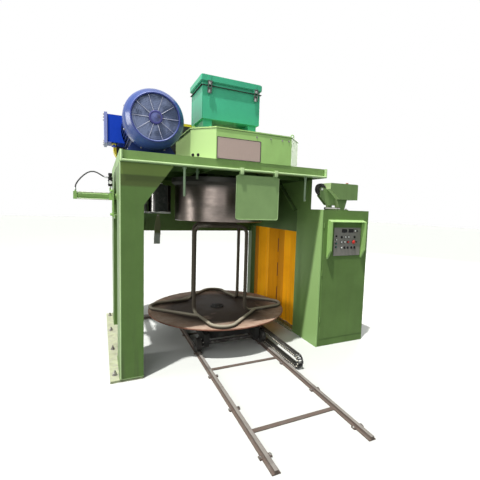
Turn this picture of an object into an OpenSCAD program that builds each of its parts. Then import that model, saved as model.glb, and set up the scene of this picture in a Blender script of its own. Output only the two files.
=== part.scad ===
// Inverted vertical wire drawing machine: a portal frame carries a hanging drum, and a coil
// carrier runs on rails below it. Measured from the left side of the frame, the front of the
// beam and the floor, then moved so that the middle of the whole machine is the origin.

/* [Portal frame] */
// Length of the frame over its end plates
frame_len = 2165; // [2000:5:2400]
// Depth of the frame from front to rear
frame_depth = 2080; // [1900:10:2300]
// Height of the deck above the floor
deck_z = 2085; // [2000:5:2200]
// Height of the beams around the deck
beam_h = 100; // [80:5:140]
// Width of each flange of the beams
beam_flange = 75; // [50:5:90]
// Thickness of the beams' webs and flanges
beam_t = 16; // [10:1:20]
// How far the bottom flange of a beam stands out in front
flange_lip = 10; // [4:1:20]
// Thickness of the plates that close the beams' ends
end_plate_t = 25; // [16:1:30]
// Thickness of the deck plate
deck_t = 20; // [12:1:30]
// Width of a left leg, seen from the front
leg_w = 200; // [160:5:240]
// Depth of a leg, seen from the side
leg_depth = 540; // [400:10:600]
// Thickness of the legs' plates
leg_t = 16; // [10:1:24]
// Set-back of the right front leg, where the wire passes
wire_gap = 255; // [200:5:300]
// Width of the right legs' rear flange
right_flange = 180; // [120:5:200]
// Length of the front gusset along the beam
gusset_len = 265; // [200:5:320]
// Height of the front gusset
gusset_h = 370; // [300:5:450]
// Length of the side gusset along the beam
side_gusset_len = 450; // [300:10:500]
// Height of the upper rear panel
rear_panel_h = 750; // [600:10:900]
// Height of the header panel above the folding door
header_h = 650; // [500:10:800]
// Thickness of sheet panels
sheet_t = 4; // [2:1:6]

/* [Sole plates] */
// Thickness of the plates on the floor
sole_t = 20; // [12:1:30]
// How far a sole plate reaches outside the legs
sole_out = 85; // [70:5:120]
// Diameter of the anchor holes
anchor_d = 26; // [16:1:32]
// Distance of the first anchor hole from the plate's end
anchor_end = 120; // [60:5:160]
// Number of anchor holes in a sole plate
anchor_count = 4; // [3:1:5]

/* [Drum] */
// Distance of the drum's axis from the left side of the frame
axis_x = 1195; // [1150:5:1240]
// Distance of the drum's axis from the front of the beam
axis_y = 870; // [850:5:900]
// Diameter of the drum's working face
drum_d = 1080; // [1000:5:1100]
// Diameter of the drum's upper lip
lip_d = 1160; // [1120:5:1180]
// Height of the drum with its lip
drum_h = 495; // [450:5:520]
// Height of the lip and its flare
lip_h = 85; // [60:5:110]
// Gap between the lip and the underside of the beams
drum_gap = 40; // [30:1:60]
// Diameter of the drum's spindle
spindle_d = 140; // [100:5:180]
// Outside diameter of the spindle's bearing housing
housing_d = 320; // [260:10:400]

/* [Carrier and rails] */
// Diameter of the coil carrier's plate
disc_d = 1690; // [1500:10:1720]
// Thickness of the coil carrier's plate
disc_t = 12; // [8:1:20]
// Height of the plate's top above the floor
disc_z = 346; // [320:1:400]
// Diameter of the carrier frame's tube
tube_d = 42; // [32:1:50]
// Distance of the uprights from the axis
upright_r = 430; // [380:5:460]
// Bending radius of the tube at the feet and hoops
bend_r = 90; // [70:5:120]
// Bending radius at a petal's tip
petal_r = 150; // [120:5:180]
// Gap between the hoops and the drum
hoop_gap = 30; // [20:1:60]
// Gap between a petal's tip and the plate's edge
petal_edge = 20; // [10:1:60]
// Where a petal's end meets the next one, from that one's upright
landing_run = 150; // [120:5:200]
// Turn of the carrier frame at rest, in degrees
carrier_turn = -13; // [-20:1:20]
// Distance between the middles of the rails
rail_gauge = 777; // [740:1:820]
// Height of a rail
rail_h = 30; // [24:1:40]
// Width of a rail's foot
rail_foot = 60; // [50:1:80]
// Width of a rail's head
rail_head = 26; // [20:1:34]
// How far the rails run out in front of the beam
rail_front = 1500; // [1400:10:1600]
// Where the rails end inside the frame
rail_back = 1700; // [1600:10:1900]
// Tread diameter of the trolley's wheels
wheel_d = 140; // [120:5:160]
// Width of a wheel's tread
wheel_w = 54; // [50:1:60]
// Distance between the trolley's axles
wheelbase = 1030; // [900:10:1100]
// Diameter of the axles
axle_d = 40; // [30:1:50]

/* [Cabinet] */
// Width of the control cabinet
cabinet_w = 684; // [640:4:760]
// How far the wire's line runs below the beams
wire_drop = 115; // [105:1:150]
// How far the wire's line runs above the control cabinet
wire_rise = 240; // [220:5:260]
// Width of the hood around the control panel
hood_w = 530; // [480:5:560]
// Height of the hood around the control panel
hood_h = 460; // [420:5:480]
// Distance of the hood's top below the cabinet's top
hood_drop = 115; // [90:5:180]
// How far the hood stands out of the cabinet
hood_out = 60; // [40:5:90]
// Width of the control panel
panel_w = 400; // [360:5:420]
// Height of the control panel
panel_h = 335; // [300:5:360]
// Length of the die box
die_box_l = 410; // [360:5:440]
// Height of the die box
die_box_h = 183; // [160:1:200]
// Depth of the die box
die_box_w = 270; // [220:5:300]
// Diameter of the wire guide wheel
guide_d = 136; // [100:4:136]

/* [Drive] */
// Height of the motor's shaft above the deck
motor_shaft_h = 310; // [290:5:330]
// Diameter of the motor's ribbed barrel
motor_d = 500; // [460:5:520]
// Diameter of the motor's fan cowl
cowl_d = 540; // [500:5:560]
// Distance of the motor's shaft from the left side of the frame
motor_x = 300; // [290:5:320]
// Length of the motor from cowl to flange
motor_l = 1060; // [980:10:1100]
// Length of the fan cowl
cowl_l = 190; // [160:5:220]
// Number of ribs in the cowl's guard
cowl_ribs = 10; // [6:1:16]
// Radius of the cowl's guard
guard_r = 205; // [180:5:215]
// Number of cooling fins around the barrel
fin_count = 44; // [24:2:60]
// Height of a cooling fin
fin_h = 24; // [14:1:30]
// Thickness of a cooling fin
fin_t = 6; // [4:1:9]
// Length of the drive end shield
shield_l = 120; // [100:5:150]
// Diameter of the motor's pulley
pulley_d = 220; // [180:5:260]
// Width of the belt pulleys
pulley_w = 120; // [80:5:130]
// Length of the gearbox housing
gearbox_l = 1240; // [1180:10:1260]
// Depth of the gearbox housing
gearbox_w = 920; // [880:10:960]
// Height of the gearbox housing
gearbox_h = 305; // [280:5:330]
// Chamfer of the gearbox housing's upright corners
gearbox_c = 200; // [160:5:220]
// How far the gearbox housing reaches to the left of the drum's axis
gearbox_left = 535; // [520:5:540]
// Length of the upper box
top_box_l = 620; // [560:10:660]
// Depth of the upper box
top_box_w = 420; // [380:10:460]
// Height of the upper box with its lid
top_box_h = 420; // [360:10:460]

/* [Press roller] */
// Diameter of the press roller
press_d = 250; // [220:5:260]
// Height of the press roller
press_h = 300; // [260:5:305]
// Gap between the press roller and the drum at rest
press_gap = 60; // [55:1:80]
// Outside diameter of the air cylinder's tube
cylinder_d = 63; // [50:1:80]
// Length of the air cylinder
cylinder_l = 370; // [340:5:420]
// Diameter of the piston rod
rod_d = 25; // [20:1:30]

/* [Hidden] */
$fn = 64;
paint = "#7d9f5d";
pale_paint = "#9dbf78";
blue = "#2f55c0";
teal = "#3fb58a";
orange_paint = "#e0900f";
steel = "#b9b5ae";
dark_steel = "#4a4744";
rusty = "#6b4a3a";
black = "#222222";
grey = "#9a9b9b";
yellow = "#e6d23a";
// Gap of a running fit and of a seat
run_gap = 0.1;
shaft_out = 150;
seat_gap = 0.3;
joint_gap = 6;
end_x = frame_len - end_plate_t;
beam_z = deck_z - beam_h;
wall_x = end_x;
wire_z = beam_z - wire_drop;
cabinet_h = wire_z - wire_rise;
hood_z = cabinet_h - hood_drop;
drum_top = beam_z - drum_gap;
drum_bottom = drum_top - drum_h;
cabinet_x = wall_x + leg_t;
rail_x = [axis_x - rail_gauge / 2, axis_x + rail_gauge / 2];
axle_z = rail_h + wheel_d / 2 + seat_gap;
press_x = axis_x - drum_d / 2 - press_gap - press_d / 2;
press_z = (drum_bottom + drum_top - lip_h) / 2 + 40;
shelf_top = press_z - press_h / 2 - 22;
cylinder_front = -35;
cylinder_back = cylinder_front - cylinder_l;
cyl_flange_t = 16;
hose_d = 14;
x_low = cylinder_back;
x_high = cabinet_x + cabinet_w;
y_low = -rail_front;
y_high = frame_depth;

module placed() {
    translate([-(x_low + x_high) / 2, -(y_low + y_high) / 2, 0])
        children();
}

// Plate upright in a plane of constant x, from an outline in y and z
module side_plate(x, t) {
    translate([x, 0, 0])
        rotate([90, 0, 90])
            linear_extrude(t)
                children();
}

// Plate upright in a plane of constant y, from an outline in x and z
module front_plate(y, t) {
    translate([0, y + t, 0])
        rotate([90, 0, 0])
            linear_extrude(t)
                children();
}

// Block between two corners
module block(low, high) {
    translate(low)
        cube(high - low);
}

// Rounded rectangle from true arcs
module round_rect(w, h, r) {
    translate([r, 0])
        square([w - 2 * r, h]);
    translate([0, r])
        square([w, h - 2 * r]);
    for (x = [r, w - r], y = [r, h - r])
        translate([x, y])
            circle(r);
}

anchor_pitch = (frame_depth - 2 * anchor_end) / (anchor_count - 1);

module sole_plate(x0, x1, y0, hole_x) {
    difference() {
        block([x0, y0, 0], [x1, frame_depth, sole_t]);
        for (i = [0 : anchor_count - 1])
            translate([hole_x, anchor_end + i * anchor_pitch, -1])
                cylinder(d = anchor_d, h = sole_t + 2);
    }
}

module left_sole_plate() color(paint) placed()
    sole_plate(-sole_out, leg_w, 0, -sole_out / 2);

module right_sole_plate() color(paint) placed()
    difference() {
        block([wall_x - sole_t, leg_depth, 0],
            [wall_x + right_flange + sole_out, frame_depth, sole_t]);
        for (i = [1, anchor_count - 1])
            translate([wall_x + right_flange + sole_out / 2, anchor_end + i * anchor_pitch, -1])
                cylinder(d = anchor_d, h = sole_t + 2);
    }

// Box column of four welded plates, open at both ends
module box_leg(y0) {
    translate([0, y0, sole_t])
        linear_extrude(beam_z - sole_t)
            difference() {
                square([leg_w, leg_depth]);
                translate([leg_t, leg_t])
                    square([leg_w - 2 * leg_t, leg_depth - 2 * leg_t]);
            }
}

// Triangular gusset beside a leg, under the beam
module gusset(y) {
    front_plate(y, leg_t)
        polygon([[leg_w, beam_z - gusset_h], [leg_w, beam_z], [leg_w + gusset_len, beam_z]]);
}

// Gusset in the plane of the frame's left side
module left_side_gusset() {
    side_plate(0, leg_t)
        polygon([[leg_depth, beam_z - gusset_h], [leg_depth, beam_z],
            [leg_depth + side_gusset_len, beam_z]]);
}

module left_front_leg() color(paint) placed() {
    box_leg(0);
    gusset(0);
    left_side_gusset();
}

module left_rear_leg() color(paint) placed() {
    box_leg(frame_depth - leg_depth);
    gusset(frame_depth - leg_t);
    translate([0, frame_depth, 0])
        mirror([0, 1, 0])
            left_side_gusset();
}

stiffener_w = 50;
stiffener_short = 12;
stiffener_in = 1;
gusset_angle = atan2(gusset_h, side_gusset_len);
module right_front_leg() color(paint) placed() {
    side_plate(wall_x, leg_t)
        polygon([[0, 0], [leg_depth, 0], [leg_depth, beam_z - gusset_h],
            [leg_depth + side_gusset_len, beam_z], [wire_gap, beam_z], [wire_gap, cabinet_h],
            [0, cabinet_h]]);
    block([wall_x, leg_depth - leg_t, cabinet_h], [wall_x + right_flange, leg_depth, beam_z]);
    translate([wall_x - stiffener_w, leg_depth, beam_z - gusset_h])
        rotate([gusset_angle, 0, 0])
            translate([0, 0, -leg_t])
                cube([stiffener_w + leg_t, norm([gusset_h, side_gusset_len]) - stiffener_short,
                    leg_t + stiffener_in]);
}

module right_rear_leg() color(paint) placed() {
    side_plate(wall_x, leg_t)
        translate([frame_depth - wire_gap / 2, sole_t])
            square([wire_gap / 2, beam_z - sole_t]);
    block([wall_x, frame_depth - leg_t, sole_t], [wall_x + right_flange, frame_depth, beam_z]);
}

// Beam along x, open to the rear, whose bottom flange stands out as a lip in front
module channel_beam() {
    block([0, 0, beam_z], [frame_len, beam_flange, beam_z + beam_t]);
    block([0, flange_lip, deck_z - beam_t], [frame_len, beam_flange, deck_z]);
    block([0, flange_lip, beam_z], [frame_len, flange_lip + beam_t, deck_z]);
    block([0, flange_lip, beam_z], [end_plate_t, beam_flange, deck_z]);
    block([end_x, 0, beam_z], [frame_len, beam_flange, deck_z]);
}

module front_beam() color(paint) placed()
    channel_beam();

module rear_beam() color(paint) placed()
    translate([0, frame_depth, 0])
        mirror([0, 1, 0])
            channel_beam();

module side_beam(x0) {
    block([x0, beam_flange, beam_z], [x0 + end_plate_t, frame_depth - beam_flange, deck_z]);
}

module left_side_beam() color(pale_paint) placed()
    side_beam(0);

module right_side_beam() color(pale_paint) placed()
    side_beam(end_x);

rib_off = 350;
rib_h = beam_h - deck_t;
module deck_plate() color(paint) placed()
    difference() {
        union() {
            block([end_plate_t, beam_flange, deck_z - deck_t], [end_x, frame_depth - beam_flange, deck_z]);
            for (x = [axis_x - rib_off, axis_x + rib_off])
                block([x, beam_flange, beam_z], [x + leg_t, frame_depth - beam_flange, deck_z - deck_t]);
            for (y = [axis_y - rib_off, axis_y + rib_off])
                block([end_plate_t, y, beam_z], [end_x, y + leg_t, deck_z - deck_t]);
        }
        translate([axis_x, axis_y, deck_z - deck_t - 1])
            cylinder(d = spindle_d + 20, h = deck_t + 2);
    }

module rear_panel() color(paint) placed()
    block([leg_w, frame_depth - leg_t - sheet_t, beam_z - rear_panel_h],
        [wall_x, frame_depth - leg_t, beam_z]);

header_fold = 84;
module door_header() color(paint) placed() {
    block([wall_x + leg_t, leg_depth, door_high],
        [wall_x + leg_t + sheet_t, frame_depth - leg_t, beam_z]);
    block([wall_x + leg_t, leg_depth, door_high],
        [wall_x + leg_t + header_fold, frame_depth - leg_t, door_high + sheet_t]);
}

crossbeam_x = cylinder_front + cyl_flange_t;
crossbeam_in = 60;
crossbeam_h = 60;
shelf_t = 20;
shelf_w = 180;
bracket_t = 10;
bracket_h = 140;
// Bar between the left legs with the shelf that carries the press roller
module press_crossbeam() color(paint) placed() {
    shelf_low = shelf_top - shelf_t;
    block([crossbeam_x, leg_depth, shelf_top - crossbeam_h],
        [crossbeam_in, frame_depth - leg_depth, shelf_low]);
    block([crossbeam_x, axis_y - shelf_w / 2, shelf_low], [press_x - 40, axis_y + shelf_w / 2, shelf_top]);
    for (y = [axis_y - 60, axis_y + 50])
        front_plate(y, bracket_t)
            polygon([[crossbeam_in, shelf_low - bracket_h], [crossbeam_in, shelf_low],
                [press_x - 60, shelf_low]]);
}

housing_t = 20;
housing_flange = 120;
module spindle_housing() color(paint) placed()
    translate([axis_x, axis_y, 0])
        difference() {
            union() {
                translate([0, 0, drum_top + housing_t])
                    cylinder(d = housing_d, h = deck_z - deck_t - drum_top - housing_t);
                translate([0, 0, deck_z - deck_t - housing_t])
                    cylinder(d = housing_d + housing_flange, h = housing_t);
            }
            translate([0, 0, drum_top])
                cylinder(d = spindle_d + 2 * run_gap, h = deck_z);
        }

shell = 25;
drum_recess = 40;
lip_face = 52;
lip_rim = 30;
lip_edge = 4;
drum_edge = 6;
// Half outline of the drum, from the axis outwards
module drum() color(steel) placed()
    translate([axis_x, axis_y, drum_bottom])
        rotate_extrude($fn = 120) {
            flare = lip_h - lip_face - lip_edge + 1;
            spindle_top = deck_z - deck_t - drum_bottom;
            polygon([[0, drum_recess], [drum_d / 2 - shell, drum_recess], [drum_d / 2 - shell, 0],
                [drum_d / 2 - drum_edge, 0], [drum_d / 2, drum_edge], [drum_d / 2, drum_h - lip_h],
                [lip_d / 2 - lip_edge, drum_h - lip_h + flare], [lip_d / 2, drum_h - lip_face],
                [lip_d / 2, drum_h - lip_edge], [lip_d / 2 - lip_edge, drum_h],
                [lip_d / 2 - lip_rim, drum_h], [lip_d / 2 - lip_rim, drum_h - lip_rim],
                [spindle_d / 2, drum_h - lip_rim], [spindle_d / 2, spindle_top], [0, spindle_top]]);
        }

motor_y = 10;
gearbox_x = axis_x - gearbox_left;
gearbox_y = 4;
belt_shaft_x = gearbox_x + gearbox_l / 2 - 5;
lid_t = 12;
lid_out = 6;
foot_t = 16;
foot_out = 30;
foot_l = 70;
belt_shaft_d = 160;
belt_shaft_in = 10;
big_pulley_d = 360;
pulley_y = motor_y + motor_l + shaft_out - pulley_w;
belt_shaft_l = pulley_y + pulley_w - gearbox_y - gearbox_w;

// Plan of the gearbox housing with cut corners, grown by a margin at the sides and rear
module gearbox_plan(m) {
    polygon([[gearbox_c, -m], [gearbox_l - gearbox_c, -m], [gearbox_l + m, gearbox_c],
        [gearbox_l + m, gearbox_w + m], [-m, gearbox_w + m], [-m, gearbox_c]]);
}

module gearbox_housing() color(pale_paint) placed()
    translate([gearbox_x, gearbox_y, deck_z]) {
        linear_extrude(gearbox_h - lid_t)
            gearbox_plan(0);
        translate([0, 0, gearbox_h - lid_t])
            linear_extrude(lid_t)
                gearbox_plan(lid_out);
        for (x = [-foot_out, gearbox_l - foot_l + foot_out])
            translate([x, gearbox_c + 60, 0])
                cube([foot_l, gearbox_w - gearbox_c - 90, foot_t]);
        translate([belt_shaft_x - gearbox_x, gearbox_w + belt_shaft_l, motor_shaft_h])
            rotate([90, 0, 0]) {
                cylinder(d = belt_shaft_d, h = belt_shaft_l + belt_shaft_in);
                cylinder(d = big_pulley_d, h = pulley_w, $fn = 96);
            }
    }

plate_w = 463;
plate_h = 205;
module name_plate() color(grey) placed()
    translate([gearbox_x + gearbox_c + 11, 2, deck_z + 6])
        cube([plate_w, 2, plate_h]);

top_box_x = axis_x - top_box_l / 2 - 120;
top_box_y = 180;
foot_h = 105;
lid_h = 60;
module top_box() color(teal) placed() {
    translate([top_box_x, top_box_y, deck_z + gearbox_h + foot_h]) {
        cube([top_box_l, top_box_w, top_box_h - lid_h]);
        translate([-14, -14, top_box_h - lid_h - 8])
            cube([top_box_l + 28, top_box_w + 28, 8]);
    }
    for (x = [20, top_box_l - 110])
        translate([top_box_x + x, top_box_y + 30, deck_z + gearbox_h])
            cube([90, top_box_w - 60, foot_h]);
}

module top_box_lid() color(teal) placed()
    translate([top_box_x - 20, top_box_y - 20, deck_z + gearbox_h + foot_h + top_box_h - lid_h]) {
        linear_extrude(lid_h - 10)
            round_rect(top_box_l + 40, top_box_w + 40, 12);
        translate([10, 10, lid_h - 10])
            linear_extrude(10)
                round_rect(top_box_l + 20, top_box_w + 20, 12);
        for (x = [70, top_box_l - 60])
            translate([x, -12, -40])
                cube([30, 12, 90]);
    }

motor_z = deck_z + motor_shaft_h;
shaft_d = 75;
motor_foot_w = 230;
motor_foot_l = 120;
motor_foot_base = 30;
motor_foot_top = 170;
motor_foot_h = 120;
motor_foot_y = [motor_y + cowl_l + 70, motor_y + motor_l - 210];
eye_r = 28;
eye_d = 18;

// Cross section of the barrel: fins around a round core
module barrel_section() {
    circle(d = motor_d - 2 * fin_h, $fn = 96);
    for (i = [0 : fin_count - 1])
        rotate((i + 0.5) * 360 / fin_count)
            translate([motor_d / 2 - fin_h - 4, -fin_t / 2])
                square([fin_h + 4, fin_t]);
}

module motor_body() color(blue) placed() {
    translate([motor_x, motor_y + motor_l, motor_z])
        rotate([90, 0, 0]) {
            translate([0, 0, shield_l])
                linear_extrude(motor_l - cowl_l - shield_l)
                    barrel_section();
            rotate_extrude($fn = 96)
                polygon([[0, 0], [110, 0], [110, 30], [motor_d / 2 - 50, 60], [motor_d / 2 - 6, 80],
                    [motor_d / 2 - 6, shield_l], [0, shield_l]]);
            translate([0, 0, -shaft_out])
                cylinder(d = shaft_d, h = shaft_out + 10);
            translate([0, 0, -shaft_out])
                cylinder(d = pulley_d, h = pulley_w, $fn = 96);
        }
    for (y = motor_foot_y)
        front_plate(y, motor_foot_l)
            translate([motor_x, deck_z])
                polygon([[-motor_foot_w, 0], [motor_foot_w, 0], [motor_foot_w, motor_foot_base],
                    [motor_foot_top, motor_foot_h], [-motor_foot_top, motor_foot_h],
                    [-motor_foot_w, motor_foot_base]]);
    translate([motor_x, motor_y + motor_l / 2 + 80, motor_z + motor_d / 2])
        rotate([90, 0, 0])
            rotate_extrude()
                translate([eye_r, 0])
                    circle(d = eye_d, $fn = 24);
}

hub_r = 60;
hub_in = 10;
guard_in = 24;
cowl_rib_t = 6;
// Fan cowl with a recessed guard of ribs around a hub
module motor_cowl() color(blue) placed()
    translate([motor_x, motor_y, motor_z])
        rotate([-90, 0, 0]) {
            rotate_extrude($fn = 96)
                polygon([[0, hub_in], [hub_r - 5, hub_in], [hub_r, hub_in + 4], [hub_r, guard_in],
                    [guard_r, guard_in], [guard_r, 0], [guard_r + 10, 0], [cowl_d / 2 - 22, 40],
                    [cowl_d / 2 - 6, 70], [cowl_d / 2, 100], [cowl_d / 2, cowl_l], [0, cowl_l]]);
            for (i = [0 : cowl_ribs - 1])
                rotate(i * 360 / cowl_ribs)
                    translate([hub_r - 5, -cowl_rib_t / 2, hub_in + 2])
                        cube([guard_r - hub_r + 10, cowl_rib_t, guard_in - hub_in]);
        }

term_x = motor_x - motor_d / 2;
term_y = motor_y + motor_l - 350;
term_l = 280;
term_half = 140;
term_out = 130;
term_in = 60;
term_lid_t = 30;
term_lid_out = 15;
gland_d = 50;
gland_out = 40;
module terminal_box() color(blue) placed() {
    difference() {
        block([term_x - term_out, term_y, motor_z - term_half],
            [term_x + term_in, term_y + term_l, motor_z + term_half]);
        translate([motor_x, term_y - 1, motor_z])
            rotate([-90, 0, 0])
                cylinder(d = motor_d + 2 * seat_gap, h = term_l + 2);
    }
    block([term_x - term_out - term_lid_t, term_y - term_lid_out, motor_z - term_half - term_lid_out],
        [term_x - term_out, term_y + term_l + term_lid_out, motor_z + term_half + term_lid_out]);
    translate([term_x - term_out / 2, term_y + 60, motor_z - term_half - gland_out])
        cylinder(d = gland_d, h = gland_out + 20);
}

guard_y = motor_y + motor_l + 20;
guard_depth = 170;
band_t = 6;
rim = 55;
guard_past = 210;
guard_x0 = -10;
guard_x1 = belt_shaft_x + guard_past;
guard_z0 = deck_z + 25;
guard_z1 = motor_z + 235;
guard_corner = 140;

// Yellow box around both pulleys with a hole for each shaft and a window in its rear, on two feet
module belt_guard() color(yellow) placed() {
    difference() {
        guard_block(0, guard_depth, 0);
        guard_block(band_t, guard_depth - 2 * band_t, band_t);
        guard_block(guard_depth - band_t - 1, band_t + 2, rim);
        shaft_hole(motor_x, shaft_d);
        shaft_hole(belt_shaft_x, belt_shaft_d);
    }
    for (x = [guard_x0 + 200, guard_x1 - 260])
        translate([x, guard_y + 20, deck_z])
            cube([60, guard_depth - 40, guard_z0 - deck_z + 4]);
}

module guard_block(y, depth, inset) {
    translate([guard_x0 + inset, guard_y + y + depth, guard_z0 + inset])
        rotate([90, 0, 0])
            linear_extrude(depth)
                round_rect(guard_x1 - guard_x0 - 2 * inset, guard_z1 - guard_z0 - 2 * inset,
                    guard_corner - inset);
}

module shaft_hole(x, d) {
    translate([x, guard_y - 1, motor_z])
        rotate([-90, 0, 0])
            cylinder(d = d + 24, h = band_t + 2);
}

// Dark mesh that fills the window of the belt guard, behind its rim
module belt_guard_mesh() color(dark_steel) placed()
    guard_block(guard_depth - band_t - mesh_t, mesh_t, band_t + seat_gap);

mesh_t = 3;
belt_count = 4;
belt_w = 17;
belt_pitch = 25;
belt_t = 10;
belt_span = belt_shaft_x - motor_x;
belt_lean = acos((pulley_d - big_pulley_d) / 2 / belt_span);

belt_points = 24;
belt_seat = 0.6;

// Points of an arc, from one angle to another
function arc(centre, radius, from, to) = [for (i = [0 : belt_points])
    let (a = from + (to - from) * i / belt_points) centre + radius * [cos(a), sin(a)]];

// Side view of the stretched loop around both pulleys, grown outwards
module loop_view(grow)
    polygon(concat(
        arc([belt_span, 0], big_pulley_d / 2 + grow, -belt_lean, belt_lean),
        arc([0, 0], pulley_d / 2 + grow, belt_lean, 360 - belt_lean)));

// Belts side by side, each one closed loop
module drive_belts() color(black) placed()
    for (i = [0 : belt_count - 1])
        front_plate(pulley_y + belt_pitch / 2 - belt_w / 2 + i * belt_pitch, belt_w)
            translate([motor_x, motor_z])
                difference() {
                    loop_view(belt_seat + belt_t);
                    loop_view(belt_seat);
                }

guard_w = 485;
guard_h = 450;
guard_x = 1075;
guard_t = 6;
guard_below = 37;
tab_w = 40;
tab_low = 60;
tab_h = 80;
// Plate in front of the drum, hung from the beam by two tabs
module front_guard() color(pale_paint) placed() {
    front_plate(-guard_t, guard_t)
        translate([guard_x, beam_z - guard_below - guard_h])
            round_rect(guard_w, guard_h, 25);
    for (x = [30, guard_w - 30 - tab_w])
        translate([guard_x + x, -guard_t, beam_z - tab_low])
            cube([tab_w, guard_t, tab_h]);
}

// How far right and back each rod hangs, and its length below the beams
hangers = [[565, 30, 275], [1910, 30, 270], [757, 300, 85]];
hanger_d = 24;
module hanger_rods() color(pale_paint) placed()
    for (rod = hangers)
        translate([rod[0], rod[1], beam_z - rod[2]])
            cylinder(d = hanger_d, h = rod[2] + (rod[1] > beam_flange ? beam_h - deck_t : 0));

cabinet_door_t = 3;
door_edge = 26;
plinth_h = 90;
module cabinet_body() color(paint) placed() {
    block([cabinet_x, cabinet_door_t, 0], [cabinet_x + cabinet_w, leg_depth, cabinet_h]);
    front_plate(0, cabinet_door_t)
        translate([cabinet_x + door_edge, plinth_h])
            square([cabinet_w - door_edge - 6, cabinet_h - plinth_h - 8]);
}

hood_x = cabinet_x + 75;
panel_right = 40;
hood_wall = 25;
hood_fall = 20;
hood_slant = 100;
module panel_hood() color(pale_paint) placed()
    difference() {
        side_plate(hood_x, hood_w)
            polygon([[0, hood_z], [-hood_out, hood_z - hood_fall],
                [-hood_out, hood_z - hood_h + hood_slant], [0, hood_z - hood_h]]);
        block([hood_x + hood_wall, -hood_out - 1, hood_z - hood_h - 1],
            [hood_x + hood_w - hood_wall, 1, hood_z - hood_wall]);
    }

panel_x = hood_x + hood_w - panel_w - panel_right;
panel_z = hood_z - 90 - panel_h;
module control_panel() color(grey) placed()
    block([panel_x, -8, panel_z], [panel_x + panel_w, 0, panel_z + panel_h]);

// Buttons, lamps and knobs: how far right of and above the panel's lower left corner, and diameter
buttons = [[32, 105, 20], [32, 148, 20], [32, 191, 20], [32, 234, 20],
    [113, 96, 26], [161, 96, 26], [210, 96, 26], [266, 96, 26], [314, 96, 26],
    [108, 163, 26], [158, 163, 26], [210, 163, 26], [298, 163, 46],
    [113, 223, 26], [165, 223, 26], [213, 223, 26], [308, 223, 26], [314, 295, 36]];
display_x = [108, 206];
display_z = 277;
display_w = 80;
display_h = 42;
button_out = 14;
module panel_buttons() color(black) placed() {
    for (b = buttons)
        translate([panel_x + b[0], -8, panel_z + b[1]])
            rotate([90, 0, 0])
                cylinder(d = b[2], h = button_out, $fn = 32);
    for (x = display_x)
        block([panel_x + x, -14, panel_z + display_z],
            [panel_x + x + display_w, -8, panel_z + display_z + display_h]);
}

die_x = wall_x + 140;
die_y = 50;
die_z = cabinet_h + 127;
die_cut_x = 140;
die_cut_z = 117;
module die_box() color(paint) placed() {
    front_plate(die_y, die_box_w)
        polygon([[die_x + die_cut_x, die_z], [die_x + die_box_l, die_z],
            [die_x + die_box_l, die_z + die_box_h], [die_x, die_z + die_box_h], [die_x, die_z + die_cut_z]]);
    block([die_x + 6, die_y + 6, die_z + die_box_h],
        [die_x + die_box_l - 6, die_y + die_box_w - 6, die_z + die_box_h + 6]);
    translate([die_x + die_box_l - 60, die_y + die_box_w / 2, die_z + die_box_h + 6])
        cylinder(d = 30, h = 24);
}

stand_low = [200, 262];
stand_high = [124, 300];
module die_box_stand() color(paint) placed() {
    front_plate(die_y + 60, 80)
        polygon([[die_x + stand_low[0], cabinet_h], [die_x + stand_low[1], cabinet_h],
            [die_x + stand_high[1], die_z], [die_x + stand_high[0] + 20, die_z]]);
    block([die_x + stand_low[0] - 40, die_y + 30, cabinet_h],
        [die_x + stand_low[1] + 40, die_y + 170, cabinet_h + 10]);
}

guide_x = wall_x + 66;
guide_z = wire_z;
guide_y = 150;
guide_w = 36;
pin_d = 16;
cheek_t = 6;
cheek_y = [guide_y - guide_w / 2 - joint_gap - cheek_t, guide_y + guide_w / 2 + joint_gap];

boss_d = 48;
trough_x = die_x + 10;
trough_l = 110;
trough_z = die_z - 73;
// Two discs with a groove between them, on a pin
module guide_wheel() color(black) placed()
    translate([guide_x, guide_y, guide_z])
        rotate([90, 0, 0]) {
            rotate_extrude($fn = 96)
                polygon([[0, -guide_w / 2], [guide_d / 2, -guide_w / 2], [guide_d / 2, -guide_w / 2 + 6],
                    [guide_d / 2 - 22, -5], [guide_d / 2 - 22, 5], [guide_d / 2, guide_w / 2 - 6],
                    [guide_d / 2, guide_w / 2], [0, guide_w / 2]]);
            cylinder(d = pin_d, h = guide_w + 2 * (joint_gap + cheek_t) + 8, center = true);
        }

// Trough of two cheeks and a floor that carries the wheel in front of the die box
module guide_bracket() color(paint) placed() {
    for (y = cheek_y)
        front_plate(y, cheek_t)
            difference() {
                union() {
                    translate([guide_x, guide_z])
                        circle(d = boss_d);
                    polygon([[guide_x - boss_d / 2, guide_z], [guide_x - boss_d / 2, guide_z - 80],
                        [trough_x, trough_z], [trough_x + trough_l, trough_z],
                        [trough_x + trough_l, die_z], [die_x + die_cut_x, die_z],
                        [die_x, die_z + die_cut_z], [guide_x, guide_z + boss_d / 2]]);
                }
                translate([guide_x, guide_z])
                    circle(d = pin_d + 2 * run_gap);
            }
    block([trough_x, cheek_y[0], trough_z],
        [trough_x + trough_l, cheek_y[1] + cheek_t, trough_z + cheek_t]);
    block([trough_x + 20, guide_y - 20, cabinet_h], [trough_x + 80, guide_y + 20, trough_z + 1]);
}

cap_l = 34;
cap_w = 80;
tie_d = 8;
tie_off = 31;
flange_x0 = cylinder_front;
flange_down = 50;
cyl_flange_w = 130;

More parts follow.
